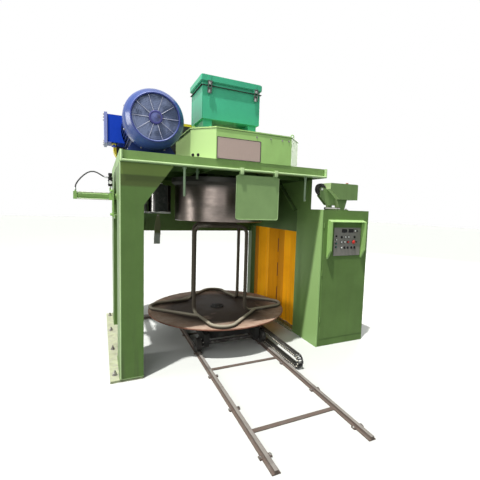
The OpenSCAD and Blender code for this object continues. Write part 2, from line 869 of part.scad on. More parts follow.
// Air cylinder with square caps, four tie rods and a flange on the crossbeam
module press_cylinder() color(pale_paint) placed() {
    translate([0, axis_y, press_z])
        rotate([0, 90, 0])
            difference() {
                union() {
                    translate([0, 0, cylinder_back])
                        cylinder(d = cylinder_d, h = cylinder_l);
                    for (x = [cylinder_back, cylinder_front - cap_l])
                        translate([-cap_w / 2, -cap_w / 2, x])
                            cube([cap_w, cap_w, cap_l]);
                    for (y = [-tie_off, tie_off], z = [-tie_off, tie_off])
                        translate([z, y, cylinder_back + 4])
                            cylinder(d = tie_d, h = cylinder_l - 8, $fn = 24);
                    translate([-cap_w, -cyl_flange_w / 2, flange_x0])
                        cube([press_z - shelf_top + flange_down + cap_w, cyl_flange_w, cyl_flange_t]);
                    translate([0, 0, cylinder_front])
                        cylinder(d = 70, h = 60);
                }
                translate([0, 0, cylinder_back + cap_l])
                    cylinder(d = cylinder_d - 12, h = cylinder_l - 2 * cap_l);
                translate([0, 0, cylinder_back + cap_l])
                    cylinder(d = rod_d + 2 * run_gap, h = cylinder_l + 100);
            }
    translate([cylinder_back + cap_l / 2, axis_y, press_z + cap_w / 2])
        cylinder(d = 20, h = port_h, $fn = 24);
    translate([valve_x, axis_y, press_z + cap_w / 2])
        cylinder(d = 18, h = valve_z - press_z - cap_w / 2, $fn = 24);
    block([valve_x - 20, axis_y - 24, valve_z], [valve_x + 20, axis_y + 24, valve_z + 100]);
    translate([valve_x, axis_y, valve_z + 100])
        cylinder(d = 22, h = 40, $fn = 24);
}

port_h = 10;
valve_x = cylinder_front - cap_l / 2;
valve_z = press_z + 110;

piston_x = cylinder_back + cap_l + 40;
module piston_rod() color(steel) placed()
    translate([0, axis_y, press_z])
        rotate([0, 90, 0]) {
            translate([0, 0, piston_x])
                cylinder(d = rod_d, h = press_x - press_d / 2 - 40 - piston_x);
            translate([0, 0, piston_x])
                cylinder(d = cylinder_d - 12 - 2 * run_gap, h = 30);
        }

yoke_x = press_x - press_d / 2 - 40;
yoke_t = 24;
yoke_w = 120;
axle_press_d = 36;
top_arm_t = 14;
bar_w = 70;
bar_h = 350;
roller_top = press_z + press_h / 2;

// Fork that holds the roller's axle and slides on the crossbeam's shelf
module press_yoke() color(steel) placed()
    difference() {
        union() {
            block([yoke_x, axis_y - yoke_w / 2, shelf_top + seat_gap],
                [yoke_x + yoke_t, axis_y + yoke_w / 2, roller_top + 2 + top_arm_t]);
            block([yoke_x, axis_y - yoke_w / 2, shelf_top + seat_gap],
                [press_x + press_d / 2 - 10, axis_y + yoke_w / 2, press_z - press_h / 2 - 4]);
            block([yoke_x, axis_y - 40, roller_top + 2],
                [press_x + 30, axis_y + 40, roller_top + 2 + top_arm_t]);
            block([press_x - 34, axis_y - bar_w / 2, shelf_top - bar_h],
                [press_x - 22, axis_y + bar_w / 2, shelf_top + 6]);
        }
        translate([press_x, axis_y, shelf_top - 5])
            cylinder(d = axle_press_d + 2 * run_gap, h = press_h + 60);
    }

module press_roller() color(steel) placed()
    translate([press_x, axis_y, 0]) {
        translate([0, 0, press_z - press_h / 2])
            cylinder(d = press_d, h = press_h, $fn = 96);
        translate([0, 0, shelf_top + 4])
            cylinder(d = axle_press_d, h = press_h + 36);
    }

// Route of the hose in x and z: up from the rear cap, over and down into the valve
hose_from = cylinder_back + cap_l / 2;
hose_to = valve_x - 20;
hose_low = press_z + cap_w / 2 + port_h;
hose_path = [[hose_from, hose_low], [hose_from, hose_low + 26], [hose_from + 7, hose_low + 62],
    [hose_from + 26, hose_low + 98], [hose_from + 52, hose_low + 132], [hose_from + 82, hose_low + 164],
    [hose_from + 114, hose_low + 190], [hose_from + 146, hose_low + 205], [hose_from + 178, hose_low + 207],
    [hose_from + 208, hose_low + 198], [hose_to - 78, hose_low + 181], [hose_to - 51, hose_low + 164],
    [hose_to - 26, hose_low + 155], [hose_to, hose_low + 155]];
hose_sides = 12;

function hose_run(i) = hose_path[min(i + 1, len(hose_path) - 1)] - hose_path[max(i - 1, 0)];
function hose_ring(i) = let (along = hose_run(i) / norm(hose_run(i)), p = hose_path[i])
    [for (k = [0 : hose_sides - 1]) let (a = 360 * k / hose_sides, u = hose_d / 2 * cos(a))
        [p[0] - along[1] * u, axis_y + hose_d / 2 * sin(a), p[1] + along[0] * u]];
hose_points = [for (i = [0 : len(hose_path) - 1]) each hose_ring(i)];
hose_faces = concat(
    [[for (k = [0 : hose_sides - 1]) k]],
    [for (i = [0 : len(hose_path) - 2], k = [0 : hose_sides - 1]) let (n = (k + 1) % hose_sides)
        [i * hose_sides + k, (i + 1) * hose_sides + k, (i + 1) * hose_sides + n, i * hose_sides + n]],
    [[for (k = [hose_sides - 1 : -1 : 0]) (len(hose_path) - 1) * hose_sides + k]]);

module air_hose() color(black) placed()
    polyhedron(points = hose_points, faces = hose_faces);

// Folds of the door in plan: how far out each is and its share of the way back
door_out = [30, 60, 30, 80, 30, 80, 30, 50];
door_share = [0, 0.155, 0.225, 0.434, 0.585, 0.736, 0.868, 1];
door_y = leg_depth + 50;
door_span = frame_depth - 200 - door_y;
door_folds = [for (i = [0 : len(door_out) - 1]) [door_out[i], door_y + door_share[i] * door_span]];
door_t = 4;
hinge_d = 14;
door_low = 180;
door_high = beam_z - header_h;
// Plan of the folded door with its hinge barrels
module door_plan() {
    for (i = [0 : len(door_folds) - 2]) {
        step = door_folds[i + 1] - door_folds[i];
        translate(door_folds[i])
            rotate(atan2(step[1], step[0]))
                translate([0, -door_t / 2])
                    square([norm(step), door_t]);
    }
    for (fold = door_folds)
        translate(fold)
            circle(d = hinge_d);
}

module folding_door() color(orange_paint) placed()
    translate([wall_x, 0, 0]) {
        translate([0, 0, door_low])
            linear_extrude(door_high - 10 - door_low)
                door_plan();
        for (i = [0, 2, 4, 6])
            translate([door_folds[i][0], door_folds[i][1], sole_t + seat_gap])
                cylinder(d = 10, h = door_high - sole_t - 2 * seat_gap);
    }

track_w = 50;
track_h = 35;
slot_x = door_out[0] - 8;
slot_w = 16;
module door_track() color(orange_paint) placed()
    difference() {
        block([wall_x + leg_t, leg_depth, sole_t],
            [wall_x + leg_t + track_w, frame_depth - wire_gap / 2, sole_t + track_h]);
        block([wall_x + slot_x, leg_depth - 1, sole_t - 1],
            [wall_x + slot_x + slot_w, frame_depth, sole_t + track_h + 1]);
    }

foot_edge = 6;
web_low = 10;
module rail(x) {
    translate([x, rail_back, 0])
        rotate([90, 0, 0])
            linear_extrude(rail_back + rail_front)
                polygon([[-rail_foot / 2, 0], [rail_foot / 2, 0], [rail_foot / 2, foot_edge],
                    [rail_head / 2, web_low], [rail_head / 2, rail_h], [-rail_head / 2, rail_h],
                    [-rail_head / 2, web_low], [-rail_foot / 2, foot_edge]]);
}

module left_rail() color(dark_steel) placed()
    rail(rail_x[0]);

module right_rail() color(dark_steel) placed()
    rail(rail_x[1]);

tie_at = [-1100, -100, 900];
tie_w = 40;
end_tie_w = 80;
end_tie_up = 10;
module rail_ties() color(dark_steel) placed() {
    for (y = tie_at)
        block([rail_x[0] + rail_foot / 2, y, 0], [rail_x[1] - rail_foot / 2, y + tie_w, foot_edge]);
    block([leg_w, rail_back, 0], [wall_x - sole_t, rail_back + end_tie_w, rail_h + end_tie_up]);
}

sill_z = axle_z + 32;
sill_h = 90;
pivot_d = 120;
pivot_h = 60;
turntable_d = 520;
module trolley_frame() color(dark_steel) placed() {
    side_x = rail_gauge / 2 - wheel_w / 2 - 60;
    for (s = [-1, 1])
        translate([axis_x + s * side_x - 30, axis_y - wheelbase / 2 - 70, sill_z])
            cube([60, wheelbase + 140, sill_h]);
    for (s = [-1, 1])
        translate([axis_x - side_x + 30, axis_y + s * (wheelbase / 2 - 60) - 40, sill_z])
            cube([2 * side_x - 60, 80, sill_h]);
    for (s = [-1, 1], t = [-1, 1])
        translate([axis_x + s * side_x - 30, axis_y + t * wheelbase / 2 - 45, axle_z - 32])
            difference() {
                cube([60, 90, 64]);
                translate([-1, 45, 32])
                    rotate([0, 90, 0])
                        cylinder(d = axle_d + 2 * run_gap, h = 62);
            }
    translate([axis_x - side_x + 30, axis_y - 200, sill_z])
        cube([2 * side_x - 60, 400, sill_h]);
    block([axis_x + side_x + 30, chain_top_end - chain_arm_w, sill_z + chain_arm_up],
        [chain_x + chain_w, chain_top_end, sill_z + chain_arm_up + leg_t]);
    translate([axis_x, axis_y, sill_z + sill_h])
        difference() {
            cylinder(d = turntable_d, h = disc_z - disc_t - sill_z - sill_h - seat_gap);
            translate([0, 0, -1])
                cylinder(d = pivot_d + 2 * run_gap, h = disc_z);
        }
}

flange_w = 8;
flange_h = 12;
module wheelset(y) {
    translate([axis_x, y, axle_z])
        rotate([0, 90, 0]) {
            translate([0, 0, -rail_gauge / 2 - wheel_w / 2 - 12])
                cylinder(d = axle_d, h = rail_gauge + wheel_w + 24);
            for (s = [-1, 1])
                translate([0, 0, s * rail_gauge / 2]) {
                    cylinder(d = wheel_d, h = wheel_w, center = true);
                    for (t = [-1, 1])
                        translate([0, 0, t * (wheel_w - flange_w) / 2])
                            cylinder(d = wheel_d + 2 * flange_h, h = flange_w, center = true);
                }
        }
}

module front_wheelset() color(dark_steel) placed()
    wheelset(axis_y - wheelbase / 2);

module rear_wheelset() color(dark_steel) placed()
    wheelset(axis_y + wheelbase / 2);

module carrier_disc() color(rusty) placed()
    translate([axis_x, axis_y, disc_z - disc_t]) {
        cylinder(d = disc_d, h = disc_t, $fn = 120);
        translate([0, 0, -pivot_h])
            cylinder(d = pivot_d, h = pivot_h);
    }

// Straight piece of tube between two points of one height
module level_tube(a, b) {
    translate([a[0], a[1], 0])
        rotate([0, 90, atan2(b[1] - a[1], b[0] - a[0])])
            cylinder(d = tube_d, h = norm(b - a), $fn = 16);
}

// Bend of tube around the z axis, from one angle over a sweep, with a weld bead at each end
module bend(r, from, sweep) {
    rotate([0, 0, from])
        rotate_extrude(angle = sweep, $fn = 48)
            translate([r, 0])
                circle(d = tube_d, $fn = 16);
    for (a = [from, from + sweep])
        rotate([0, 0, a])
            translate([r, 0, 0])
                rotate([90, 0, 0])
                    cylinder(d = tube_d + weld_out, h = weld_l, center = true, $fn = 16);
}

weld_l = 12;
weld_out = 3;

// Each petal leaves the foot of its own upright, turns at its tip and ends against the next one
tube_z = disc_z + (tube_d + weld_out) / 2;
hoop_z = drum_bottom - hoop_gap - tube_d / 2;
petal_centre = [disc_d / 2 - petal_edge - petal_r, 0];
foot = [upright_r * cos(45), -upright_r * sin(45)];
foot_dist = norm(petal_centre - foot);
foot_dir = atan2(-foot[1], petal_centre[0] - foot[0]) - asin(petal_r / foot_dist);
foot_run = sqrt(foot_dist * foot_dist - petal_r * petal_r);
next_foot = [upright_r * cos(45), upright_r * sin(45)];
next_run = [-sin(foot_dir), cos(foot_dir)];
landing = next_foot + landing_run * next_run;
land_dist = norm(petal_centre - landing);
land_dir = atan2(-landing[1], petal_centre[0] - landing[0]) + asin(petal_r / land_dist);
land_run = sqrt(land_dist * land_dist - petal_r * petal_r);
hoop_half = upright_r * cos(45);

module petal() {
    translate([0, 0, tube_z]) {
        level_tube(foot + bend_r * [cos(foot_dir), sin(foot_dir)],
            foot + foot_run * [cos(foot_dir), sin(foot_dir)]);
        translate(petal_centre)
            bend(petal_r, foot_dir - 90, 180 - foot_dir + land_dir);
        difference() {
            level_tube(landing, landing + land_run * [cos(land_dir), sin(land_dir)]);
            translate(landing - 2 * tube_d * next_run)
                rotate([0, 90, foot_dir + 90])
                    cylinder(d = tube_d + 2 * seat_gap, h = 4 * tube_d);
        }
        translate([foot[0], foot[1], 0])
            rotate([90, 0, foot_dir])
                translate([bend_r, bend_r, 0])
                    bend(bend_r, 180, 90);
    }
    translate([foot[0], foot[1], tube_z + bend_r])
        cylinder(d = tube_d, h = hoop_z - tube_z - 2 * bend_r, $fn = 16);
}

module hoop() {
    for (s = [-1, 1])
        translate([s * (hoop_half - bend_r), -hoop_half, hoop_z - bend_r])
            rotate([90, 0, 0])
                bend(bend_r, s > 0 ? 0 : 90, 90);
    translate([0, -hoop_half, hoop_z])
        rotate([0, 90, 0])
            cylinder(d = tube_d, h = 2 * (hoop_half - bend_r), center = true, $fn = 16);
}

module carrier_frame() color(rusty) placed()
    translate([axis_x, axis_y, 0])
        rotate([0, 0, carrier_turn]) {
            for (k = [0 : 3])
                rotate([0, 0, 90 * k])
                    petal();
            for (k = [0, 2])
                rotate([0, 0, 90 * k])
                    hoop();
        }

chain_x = rail_x[1] + rail_foot / 2 + 20;
chain_w = 60;
chain_h = 36;
chain_r = 55;
chain_front = -350;
chain_mid = chain_r + chain_h / 2;
link_pitch = 60;
link_gap = 6;
chain_top_end = 640;
chain_low_end = 900;
bend_links = 5;
bend_link_l = 28;

chain_arm_w = 80;
chain_arm_up = 20;
clip_at = [-200, 800];
clip_w = 60;
clip_in = 20;
clip_t = 6;

chain_runs = [[chain_low_end, chain_h / 2], [chain_top_end, chain_h / 2 + 2 * chain_r]];
core_in = 6;

// Side view of the chain's links, along both runs and round the bend
module chain_links_side() {
    for (run = chain_runs)
        for (i = [0 : floor((run[0] - chain_front) / link_pitch) - 1])
            translate([chain_front + i * link_pitch + link_gap / 2, run[1] - chain_h / 2])
                square([link_pitch - link_gap, chain_h]);
    translate([chain_front, chain_mid])
        for (i = [0 : bend_links - 1])
            rotate(90 + (i + 0.5) * 180 / bend_links)
                translate([chain_r - chain_h / 2, -bend_link_l / 2])
                    square([chain_h, bend_link_l]);
}

// Side view of the narrower core that joins the links
module chain_core_side() {
    for (run = chain_runs)
        translate([chain_front - 1, run[1] - chain_h / 2 + core_in])
            square([run[0] - chain_front + 1, chain_h - 2 * core_in]);
    translate([chain_front, chain_mid])
        difference() {
            circle(r = chain_r + chain_h / 2 - core_in);
            circle(r = chain_r - chain_h / 2 + core_in);
            translate([0, -2 * chain_r])
                square(4 * chain_r);
        }
}

module drag_chain() color(black) placed() {
    side_plate(chain_x, chain_w)
        chain_links_side();
    side_plate(chain_x + 2 + core_in, chain_w - 4 - 2 * core_in)
        chain_core_side();
    for (y = clip_at)
        block([rail_x[1] + rail_foot / 2, y, 0], [chain_x + clip_in, y + clip_w, clip_t]);
}

left_sole_plate();
right_sole_plate();
left_front_leg();
left_rear_leg();
right_front_leg();
right_rear_leg();
front_beam();
rear_beam();
left_side_beam();
right_side_beam();
deck_plate();
rear_panel();
door_header();
press_crossbeam();
spindle_housing();
gearbox_housing();
name_plate();
top_box();
top_box_lid();
motor_body();
motor_cowl();
terminal_box();
belt_guard();
belt_guard_mesh();
drive_belts();
front_guard();
hanger_rods();
cabinet_body();
panel_hood();
control_panel();
panel_buttons();
die_box();
die_box_stand();
guide_bracket();
guide_wheel();
press_cylinder();
air_hose();
piston_rod();
press_yoke();
press_roller();
folding_door();
door_track();
left_rail();
right_rail();
rail_ties();
trolley_frame();
front_wheelset();
rear_wheelset();
carrier_disc();
carrier_frame();
drag_chain();
drum();
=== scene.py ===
import bpy, bmesh, math, random
from mathutils import Matrix, Vector


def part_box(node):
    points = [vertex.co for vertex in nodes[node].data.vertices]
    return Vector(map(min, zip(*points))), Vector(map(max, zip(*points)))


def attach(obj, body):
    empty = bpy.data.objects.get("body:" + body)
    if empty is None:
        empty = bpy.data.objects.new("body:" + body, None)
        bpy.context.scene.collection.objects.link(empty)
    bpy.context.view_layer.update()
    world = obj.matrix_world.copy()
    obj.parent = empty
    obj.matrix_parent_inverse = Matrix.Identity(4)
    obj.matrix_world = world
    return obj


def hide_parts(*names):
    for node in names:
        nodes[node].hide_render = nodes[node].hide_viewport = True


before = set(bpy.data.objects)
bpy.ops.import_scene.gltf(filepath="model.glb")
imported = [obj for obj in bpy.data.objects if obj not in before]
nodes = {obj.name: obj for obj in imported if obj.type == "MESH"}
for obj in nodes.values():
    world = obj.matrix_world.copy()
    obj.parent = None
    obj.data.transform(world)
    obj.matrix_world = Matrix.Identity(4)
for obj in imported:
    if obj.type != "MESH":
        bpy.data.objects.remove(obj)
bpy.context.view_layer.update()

# Where the machine's own measures start: the frame's left side, the front of the beam, the floor
corner = Vector((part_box("left_side_beam")[0].x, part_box("front_beam")[0].y, 0))


def at(x, y, z):
    """A point given in the machine's own measures, in metres."""
    return corner + Vector((x, y, z))


# Camera
# Eye height of a standing person in front of the left leg, looking to the right and slightly down.
# The lean and the small shift are those of the hand-held photograph.
eye = at(-0.15, -3.147, 1.619)
yaw, pitch, roll = math.radians(25.751), math.radians(-5.163), math.radians(1.930)
ahead = Vector((math.sin(yaw) * math.cos(pitch), math.cos(yaw) * math.cos(pitch), math.sin(pitch)))
level_right = Vector((math.cos(yaw), -math.sin(yaw), 0))
level_up = level_right.cross(ahead)
camera_right = math.cos(roll) * level_right + math.sin(roll) * level_up
camera_up = -math.sin(roll) * level_right + math.cos(roll) * level_up
camera_data = bpy.data.cameras.new("camera")
camera_data.sensor_width = 36
camera_data.lens = 24.98
camera_data.shift_x = -0.0431
camera_data.shift_y = -0.0029
camera = bpy.data.objects.new("camera", camera_data)
camera.matrix_world = Matrix((
    (camera_right.x, camera_up.x, -ahead.x, eye.x),
    (camera_right.y, camera_up.y, -ahead.y, eye.y),
    (camera_right.z, camera_up.z, -ahead.z, eye.z),
    (0, 0, 0, 1)))
bpy.context.collection.objects.link(camera)
bpy.context.scene.camera = camera
bpy.context.scene.view_settings.view_transform = "Standard"


# Light of the hall and the floor
# The sun through a skylight, a little from the left and the front, four soft windows round the
# machine and a pale sky. The camera sees the sky and the lit floor as white, the floor keeps the
# shadows.
def node(tree, kind, sockets=None, **settings):
    """A node with its settings, whose sockets take values or links."""
    made = tree.nodes.new(kind)
    for name, value in settings.items():
        setattr(made, name, value)
    for key, value in (sockets or {}).items():
        if isinstance(value, bpy.types.NodeSocket):
            tree.links.new(value, made.inputs[key])
        else:
            made.inputs[key].default_value = value
    return made


def maths(tree, operation, a, b=0.0):
    """A sum, product or the like of two numbers or sockets, held within 0 and 1."""
    return node(tree, "ShaderNodeMath", {0: a, 1: b}, operation=operation, use_clamp=True).outputs[0]


def seen_directly(tree):
    """1 for rays of the camera and of mirror and glass images, else 0."""
    path = node(tree, "ShaderNodeLightPath")
    seen = maths(tree, "MAXIMUM", path.outputs["Is Camera Ray"], path.outputs["Is Glossy Ray"])
    return maths(tree, "MAXIMUM", seen, path.outputs["Is Transmission Ray"])


world = bpy.data.worlds.new("sky")
world.use_nodes = True
sky = world.node_tree
sky.nodes.clear()
upward = node(sky, "ShaderNodeSeparateXYZ", {0: node(sky, "ShaderNodeTexCoord").outputs["Generated"]})
height = node(sky, "ShaderNodeMapRange", {"Value": upward.outputs["Z"], "From Min": -0.1, "From Max": 0.8,
                                          "To Min": 0.07, "To Max": 0.32})
dim = node(sky, "ShaderNodeBackground", {"Color": (0.93, 0.97, 1.0, 1), "Strength": height.outputs["Result"]})
white = node(sky, "ShaderNodeBackground", {"Color": (1, 1, 1, 1), "Strength": 1.0})
both = node(sky, "ShaderNodeMixShader", {0: seen_directly(sky), 1: dim.outputs[0], 2: white.outputs[0]})
node(sky, "ShaderNodeOutputWorld", {"Surface": both.outputs[0]})
bpy.context.scene.world = world

floor_mesh = bpy.data.meshes.new("floor")
floor_mesh.from_pydata([(-40, -40, -0.001), (40, -40, -0.001), (40, 40, -0.001), (-40, 40, -0.001)],
                       [], [(0, 1, 2, 3)])
floor = bpy.data.objects.new("floor", floor_mesh)
bpy.context.collection.objects.link(floor)
floor_paint = bpy.data.materials.new("pale_floor")
floor_paint.use_nodes = True
tree = floor_paint.node_tree
shown = node(tree, "ShaderNodeMix", {0: seen_directly(tree), 6: (0.10, 0.13, 0.12, 1), 7: (0.60, 0.615, 0.60, 1)},
             data_type="RGBA")
tree.links.new(shown.outputs[2], tree.nodes["Principled BSDF"].inputs["Base Color"])
tree.nodes["Principled BSDF"].inputs["Roughness"].default_value = 0.6
tree.nodes["Principled BSDF"].inputs["Specular IOR Level"].default_value = 0.2
floor_mesh.materials.append(floor_paint)

skylight = bpy.data.lights.new("skylight", "SUN")
skylight.energy = 4.4
skylight.angle = math.radians(1.6)
skylight.color = (1.0, 0.985, 0.95)
overhead = bpy.data.objects.new("skylight", skylight)
overhead.rotation_euler = Vector((0.45, 0.29, -1.7)).to_track_quat("-Z", "Y").to_euler()
bpy.context.collection.objects.link(overhead)
for name, spot, size, power in (("front_window", at(-1.0, -4.0, 6.4), (4.5, 3.0), 70),
                                ("corner_window", at(-3.9, -4.7, 2.9), (3.8, 3.4), 125),
                                ("left_window", at(-8.6, 1.1, 2.7), (2.4, 4.6), 400),
                                ("back_window", at(8.6, 6.4, 4.2), (5.0, 3.0), 420)):
    lamp = bpy.data.lights.new(name, "AREA")
    lamp.shape = "RECTANGLE"
    lamp.size, lamp.size_y = size
    lamp.energy = power
    lamp.color = (1.0, 0.99, 0.96)
    window = bpy.data.objects.new(name, lamp)
    window.location = spot
    window.rotation_euler = (at(1.1, 0.4, 1.5) - spot).to_track_quat("-Z", "Y").to_euler()
    bpy.context.collection.objects.link(window)


# Portal frame
# Welded plates and channels with one coat of green machine enamel, rubbed through at the edges,
# dusty on top and stained lower down. The weld beads and anchor bolts are pieces of their own.
def blended(tree, share, first, second):
    """The mix of two colours, given as sockets or as three numbers, by a share."""
    ends = {6 + i: c if isinstance(c, bpy.types.NodeSocket) else (*c, 1) for i, c in enumerate((first, second))}
    return node(tree, "ShaderNodeMix", {0: share, **ends}, data_type="RGBA").outputs[2]


def cloudy(tree, place, scale, detail=4, roughness=0.6, stretch=(1, 1, 1)):
    """Noise at a place, stretched along the axes."""
    spread = node(tree, "ShaderNodeMapping", {"Vector": place, "Scale": stretch})
    return node(tree, "ShaderNodeTexNoise", {"Vector": spread.outputs[0], "Scale": scale, "Detail": detail,
                                             "Roughness": roughness}).outputs["Fac"]


def between(tree, value, low, high):
    """0 where a value is at the low end, 1 at the high end."""
    return node(tree, "ShaderNodeMapRange", {"Value": value, "From Min": low, "From Max": high}).outputs[0]


def own_place(tree):
    return node(tree, "ShaderNodeTexCoord").outputs["Object"]


def lies_at(tree, axis):
    """Where a point lies along one axis."""
    return node(tree, "ShaderNodeSeparateXYZ", {0: own_place(tree)}).outputs[axis]


def looks(tree, axis, normal="Normal"):
    """How far a face looks along one axis, from -1 to 1."""
    side = node(tree, "ShaderNodeNewGeometry").outputs[normal]
    return node(tree, "ShaderNodeSeparateXYZ", {0: side}).outputs[axis]


def times(tree, product, *factors):
    """The product of sockets and numbers."""
    for factor in factors:
        product = maths(tree, "MULTIPLY", product, factor)
    return product


def shader_group(name, ins, outs):
    """An empty shader node group with named number sockets."""
    tree = bpy.data.node_groups.new(name, "ShaderNodeTree")
    for label, value in ins:
        tree.interface.new_socket(label, in_out="INPUT", socket_type="NodeSocketFloat").default_value = value
    for label in outs:
        tree.interface.new_socket(label, in_out="OUTPUT", socket_type="NodeSocketFloat")
    return tree, node(tree, "NodeGroupInput").outputs, node(tree, "NodeGroupOutput").inputs


# Edge wear: where a rounded normal leaves the true one, broken up by noise
edge_wear, given, result = shader_group("edge_wear", [("Width", 0.004), ("Amount", 0.5)], ["Mask"])
rounded = node(edge_wear, "ShaderNodeBevel", {"Radius": given["Width"]}, samples=4)
true_side = node(edge_wear, "ShaderNodeNewGeometry")
agree = node(edge_wear, "ShaderNodeVectorMath", {0: rounded.outputs[0], 1: true_side.outputs["Normal"]},
             operation="DOT_PRODUCT")
edge = between(edge_wear, maths(edge_wear, "SUBTRACT", 1.0, agree.outputs["Value"]), 0.02, 0.16)
patchy = between(edge_wear, cloudy(edge_wear, own_place(edge_wear), 9.0, 6, 0.7), 0.42, 0.62)
edge_wear.links.new(times(edge_wear, edge, patchy, given["Amount"]), result["Mask"])

# Dust on upward faces, streaks that thin out with height, and large soft clouds
grime, given, result = shader_group("grime", [("Dust", 0.5), ("Stain", 0.4), ("Stain Height", 0.6)],
                                    ["Dust", "Stain", "Cloud"])
place = own_place(grime)
lying = times(grime, between(grime, looks(grime, "Z"), 0.55, 0.95),
              between(grime, cloudy(grime, place, 34.0, 4, 0.7), 0.30, 0.64))
streaks = between(grime, cloudy(grime, place, 9.0, 5, 0.6, (1.6, 1.6, 0.12)), 0.46, 0.76)
lowness = maths(grime, "SUBTRACT", 1.0, maths(grime, "DIVIDE", lies_at(grime, "Z"), given["Stain Height"]))
streaks = times(grime, streaks, maths(grime, "ADD", lowness, 0.22))
grime.links.new(times(grime, lying, given["Dust"]), result["Dust"])
grime.links.new(times(grime, streaks, given["Stain"]), result["Stain"])
grime.links.new(cloudy(grime, place, 2.2, 5), result["Cloud"])


def new_material(name):
    made = bpy.data.materials.new(name)
    made.use_nodes = True
    return made, made.node_tree, made.node_tree.nodes["Principled BSDF"].inputs


def add_relief(tree, height, strength, depth=0.001):
    """Gives a material a relief."""
    skin = node(tree, "ShaderNodeBump", {"Height": height, "Strength": strength, "Distance": depth})
    tree.links.new(skin.outputs[0], tree.nodes["Principled BSDF"].inputs["Normal"])


def paint_over(material, share, colour):
    """Covers a share of a material with another colour."""
    tree = material.node_tree
    base = tree.nodes["Principled BSDF"].inputs["Base Color"]
    tree.links.new(blended(tree, share, base.links[0].from_socket, colour), base)


def enamel(name, colour, under=(0.11, 0.095, 0.085), wear=0.7, dust=0.5, stain=0.5, gloss=0.36,
           stain_height=0.7, dirt=(0.06, 0.055, 0.04), peel=0.05, shine=0.28):
    """Sprayed machine enamel over steel, with worn edges, dust, stains and a light orange peel."""
    made, tree, shader = new_material(name)
    worn = node(tree, "ShaderNodeGroup", {"Amount": wear}, node_tree=edge_wear).outputs["Mask"]
    lies = node(tree, "ShaderNodeGroup", {"Dust": dust, "Stain": stain, "Stain Height": stain_height},
                node_tree=grime).outputs
    place = own_place(tree)
    tree.links.new(blended(tree, between(tree, lies["Cloud"], 0.30, 0.70), [0.84 * part for part in colour],
                           [min(0.95, 1.10 * part + 0.004) for part in colour]), shader["Base Color"])
    specks = times(tree, between(tree, cloudy(tree, place, 70.0, 3), 0.66, 0.74), 0.6 * stain)
    paint_over(made, maths(tree, "MAXIMUM", lies["Stain"], specks), dirt)
    paint_over(made, worn, under)
    paint_over(made, times(tree, lies["Dust"], 0.75), (0.37, 0.36, 0.31))
    rough = maths(tree, "ADD", gloss, times(tree, lies["Cloud"], 0.16))
    tree.links.new(maths(tree, "ADD", rough, times(tree, lies["Dust"], 0.4)), shader["Roughness"])
    shader["Specular IOR Level"].default_value = shine
    add_relief(tree, cloudy(tree, place, 160.0, 2), peel, 0.002)
    return made


def steel(name, colour, rough, grain=(1, 1, 1), scale=60.0, tarnish=(0.06, 0.045, 0.035), spread=0.0,
          patch=5.0, relief=0.1, shine=0.5):
    """Bare steel with a grain, and tarnish that covers a share of it in patches."""
    made, tree, shader = new_material(name)
    place = own_place(tree)
    lines = cloudy(tree, place, scale, 4, 0.7, grain)
    dull = between(tree, cloudy(tree, place, patch, 8, 0.68), 0.66 - 0.42 * spread, 0.84 - 0.42 * spread)
    tone = blended(tree, lines, [0.70 * part for part in colour], colour)
    tree.links.new(blended(tree, dull, tone, tarnish), shader["Base Color"])
    tree.links.new(maths(tree, "SUBTRACT", 1.0, dull), shader["Metallic"])
    uneven = maths(tree, "ADD", rough, times(tree, lines, 0.18))
    tree.links.new(maths(tree, "ADD", uneven, times(tree, dull, 0.45)), shader["Roughness"])
    shader["Specular IOR Level"].default_value = shine
    add_relief(tree, lines, relief)
    return made


def finish_nodes(material, *names):
    """Gives each named piece of the frame its finish."""
    for name in names:
        nodes[name].data.materials.clear()
        nodes[name].data.materials.append(material)


def add_block(bm, low, high, bevel=0.0, turn=None):
    """A box between two corners, with rounded edges, turned about its middle."""
    low, high = Vector(low), Vector(high)
    stretch = Matrix.Diagonal((*(high - low), 1))
    middle = Matrix.Translation((low + high) / 2)
    made = bmesh.ops.create_cube(bm, size=1, matrix=middle @ (turn or Matrix.Identity(4)) @ stretch)
    if bevel:
        edges = {edge for vert in made["verts"] for edge in vert.link_edges}
        bmesh.ops.bevel(bm, geom=list(edges), offset=bevel, segments=2, profile=0.5, affect="EDGES")


def add_rod(bm, start, end, radius, sides=16):
    """A closed round bar between two points."""
    start, end = Vector(start), Vector(end)
    turn = (end - start).to_track_quat("Z", "Y").to_matrix().to_4x4()
    bmesh.ops.create_cone(bm, cap_ends=True, segments=sides, radius1=radius, radius2=radius,
                          depth=(end - start).length, matrix=Matrix.Translation((start + end) / 2) @ turn)


def add_turned(bm, centre, axis, outline, sides=48):
    """A turned body: a closed outline of (radius, height along the axis) round a centre."""
    turn = Matrix.Translation(Vector(centre)) @ Vector(axis).to_track_quat("Z", "Y").to_matrix().to_4x4()
    rings = []
    for radius, height in outline:
        if radius < 1e-6:
            rings.append([bm.verts.new(turn @ Vector((0, 0, height)))] * sides)
        else:
            rings.append([bm.verts.new(turn @ Vector((radius * math.cos(math.tau * i / sides),
                                                      radius * math.sin(math.tau * i / sides), height)))
                          for i in range(sides)])
    for first, second in zip(rings, rings[1:] + rings[:1]):
        for i in range(sides):
            quad = [first[i], first[(i + 1) % sides], second[(i + 1) % sides], second[i]]
            quad = list(dict.fromkeys(quad))
            if len(quad) > 2:
                bm.faces.new(quad)


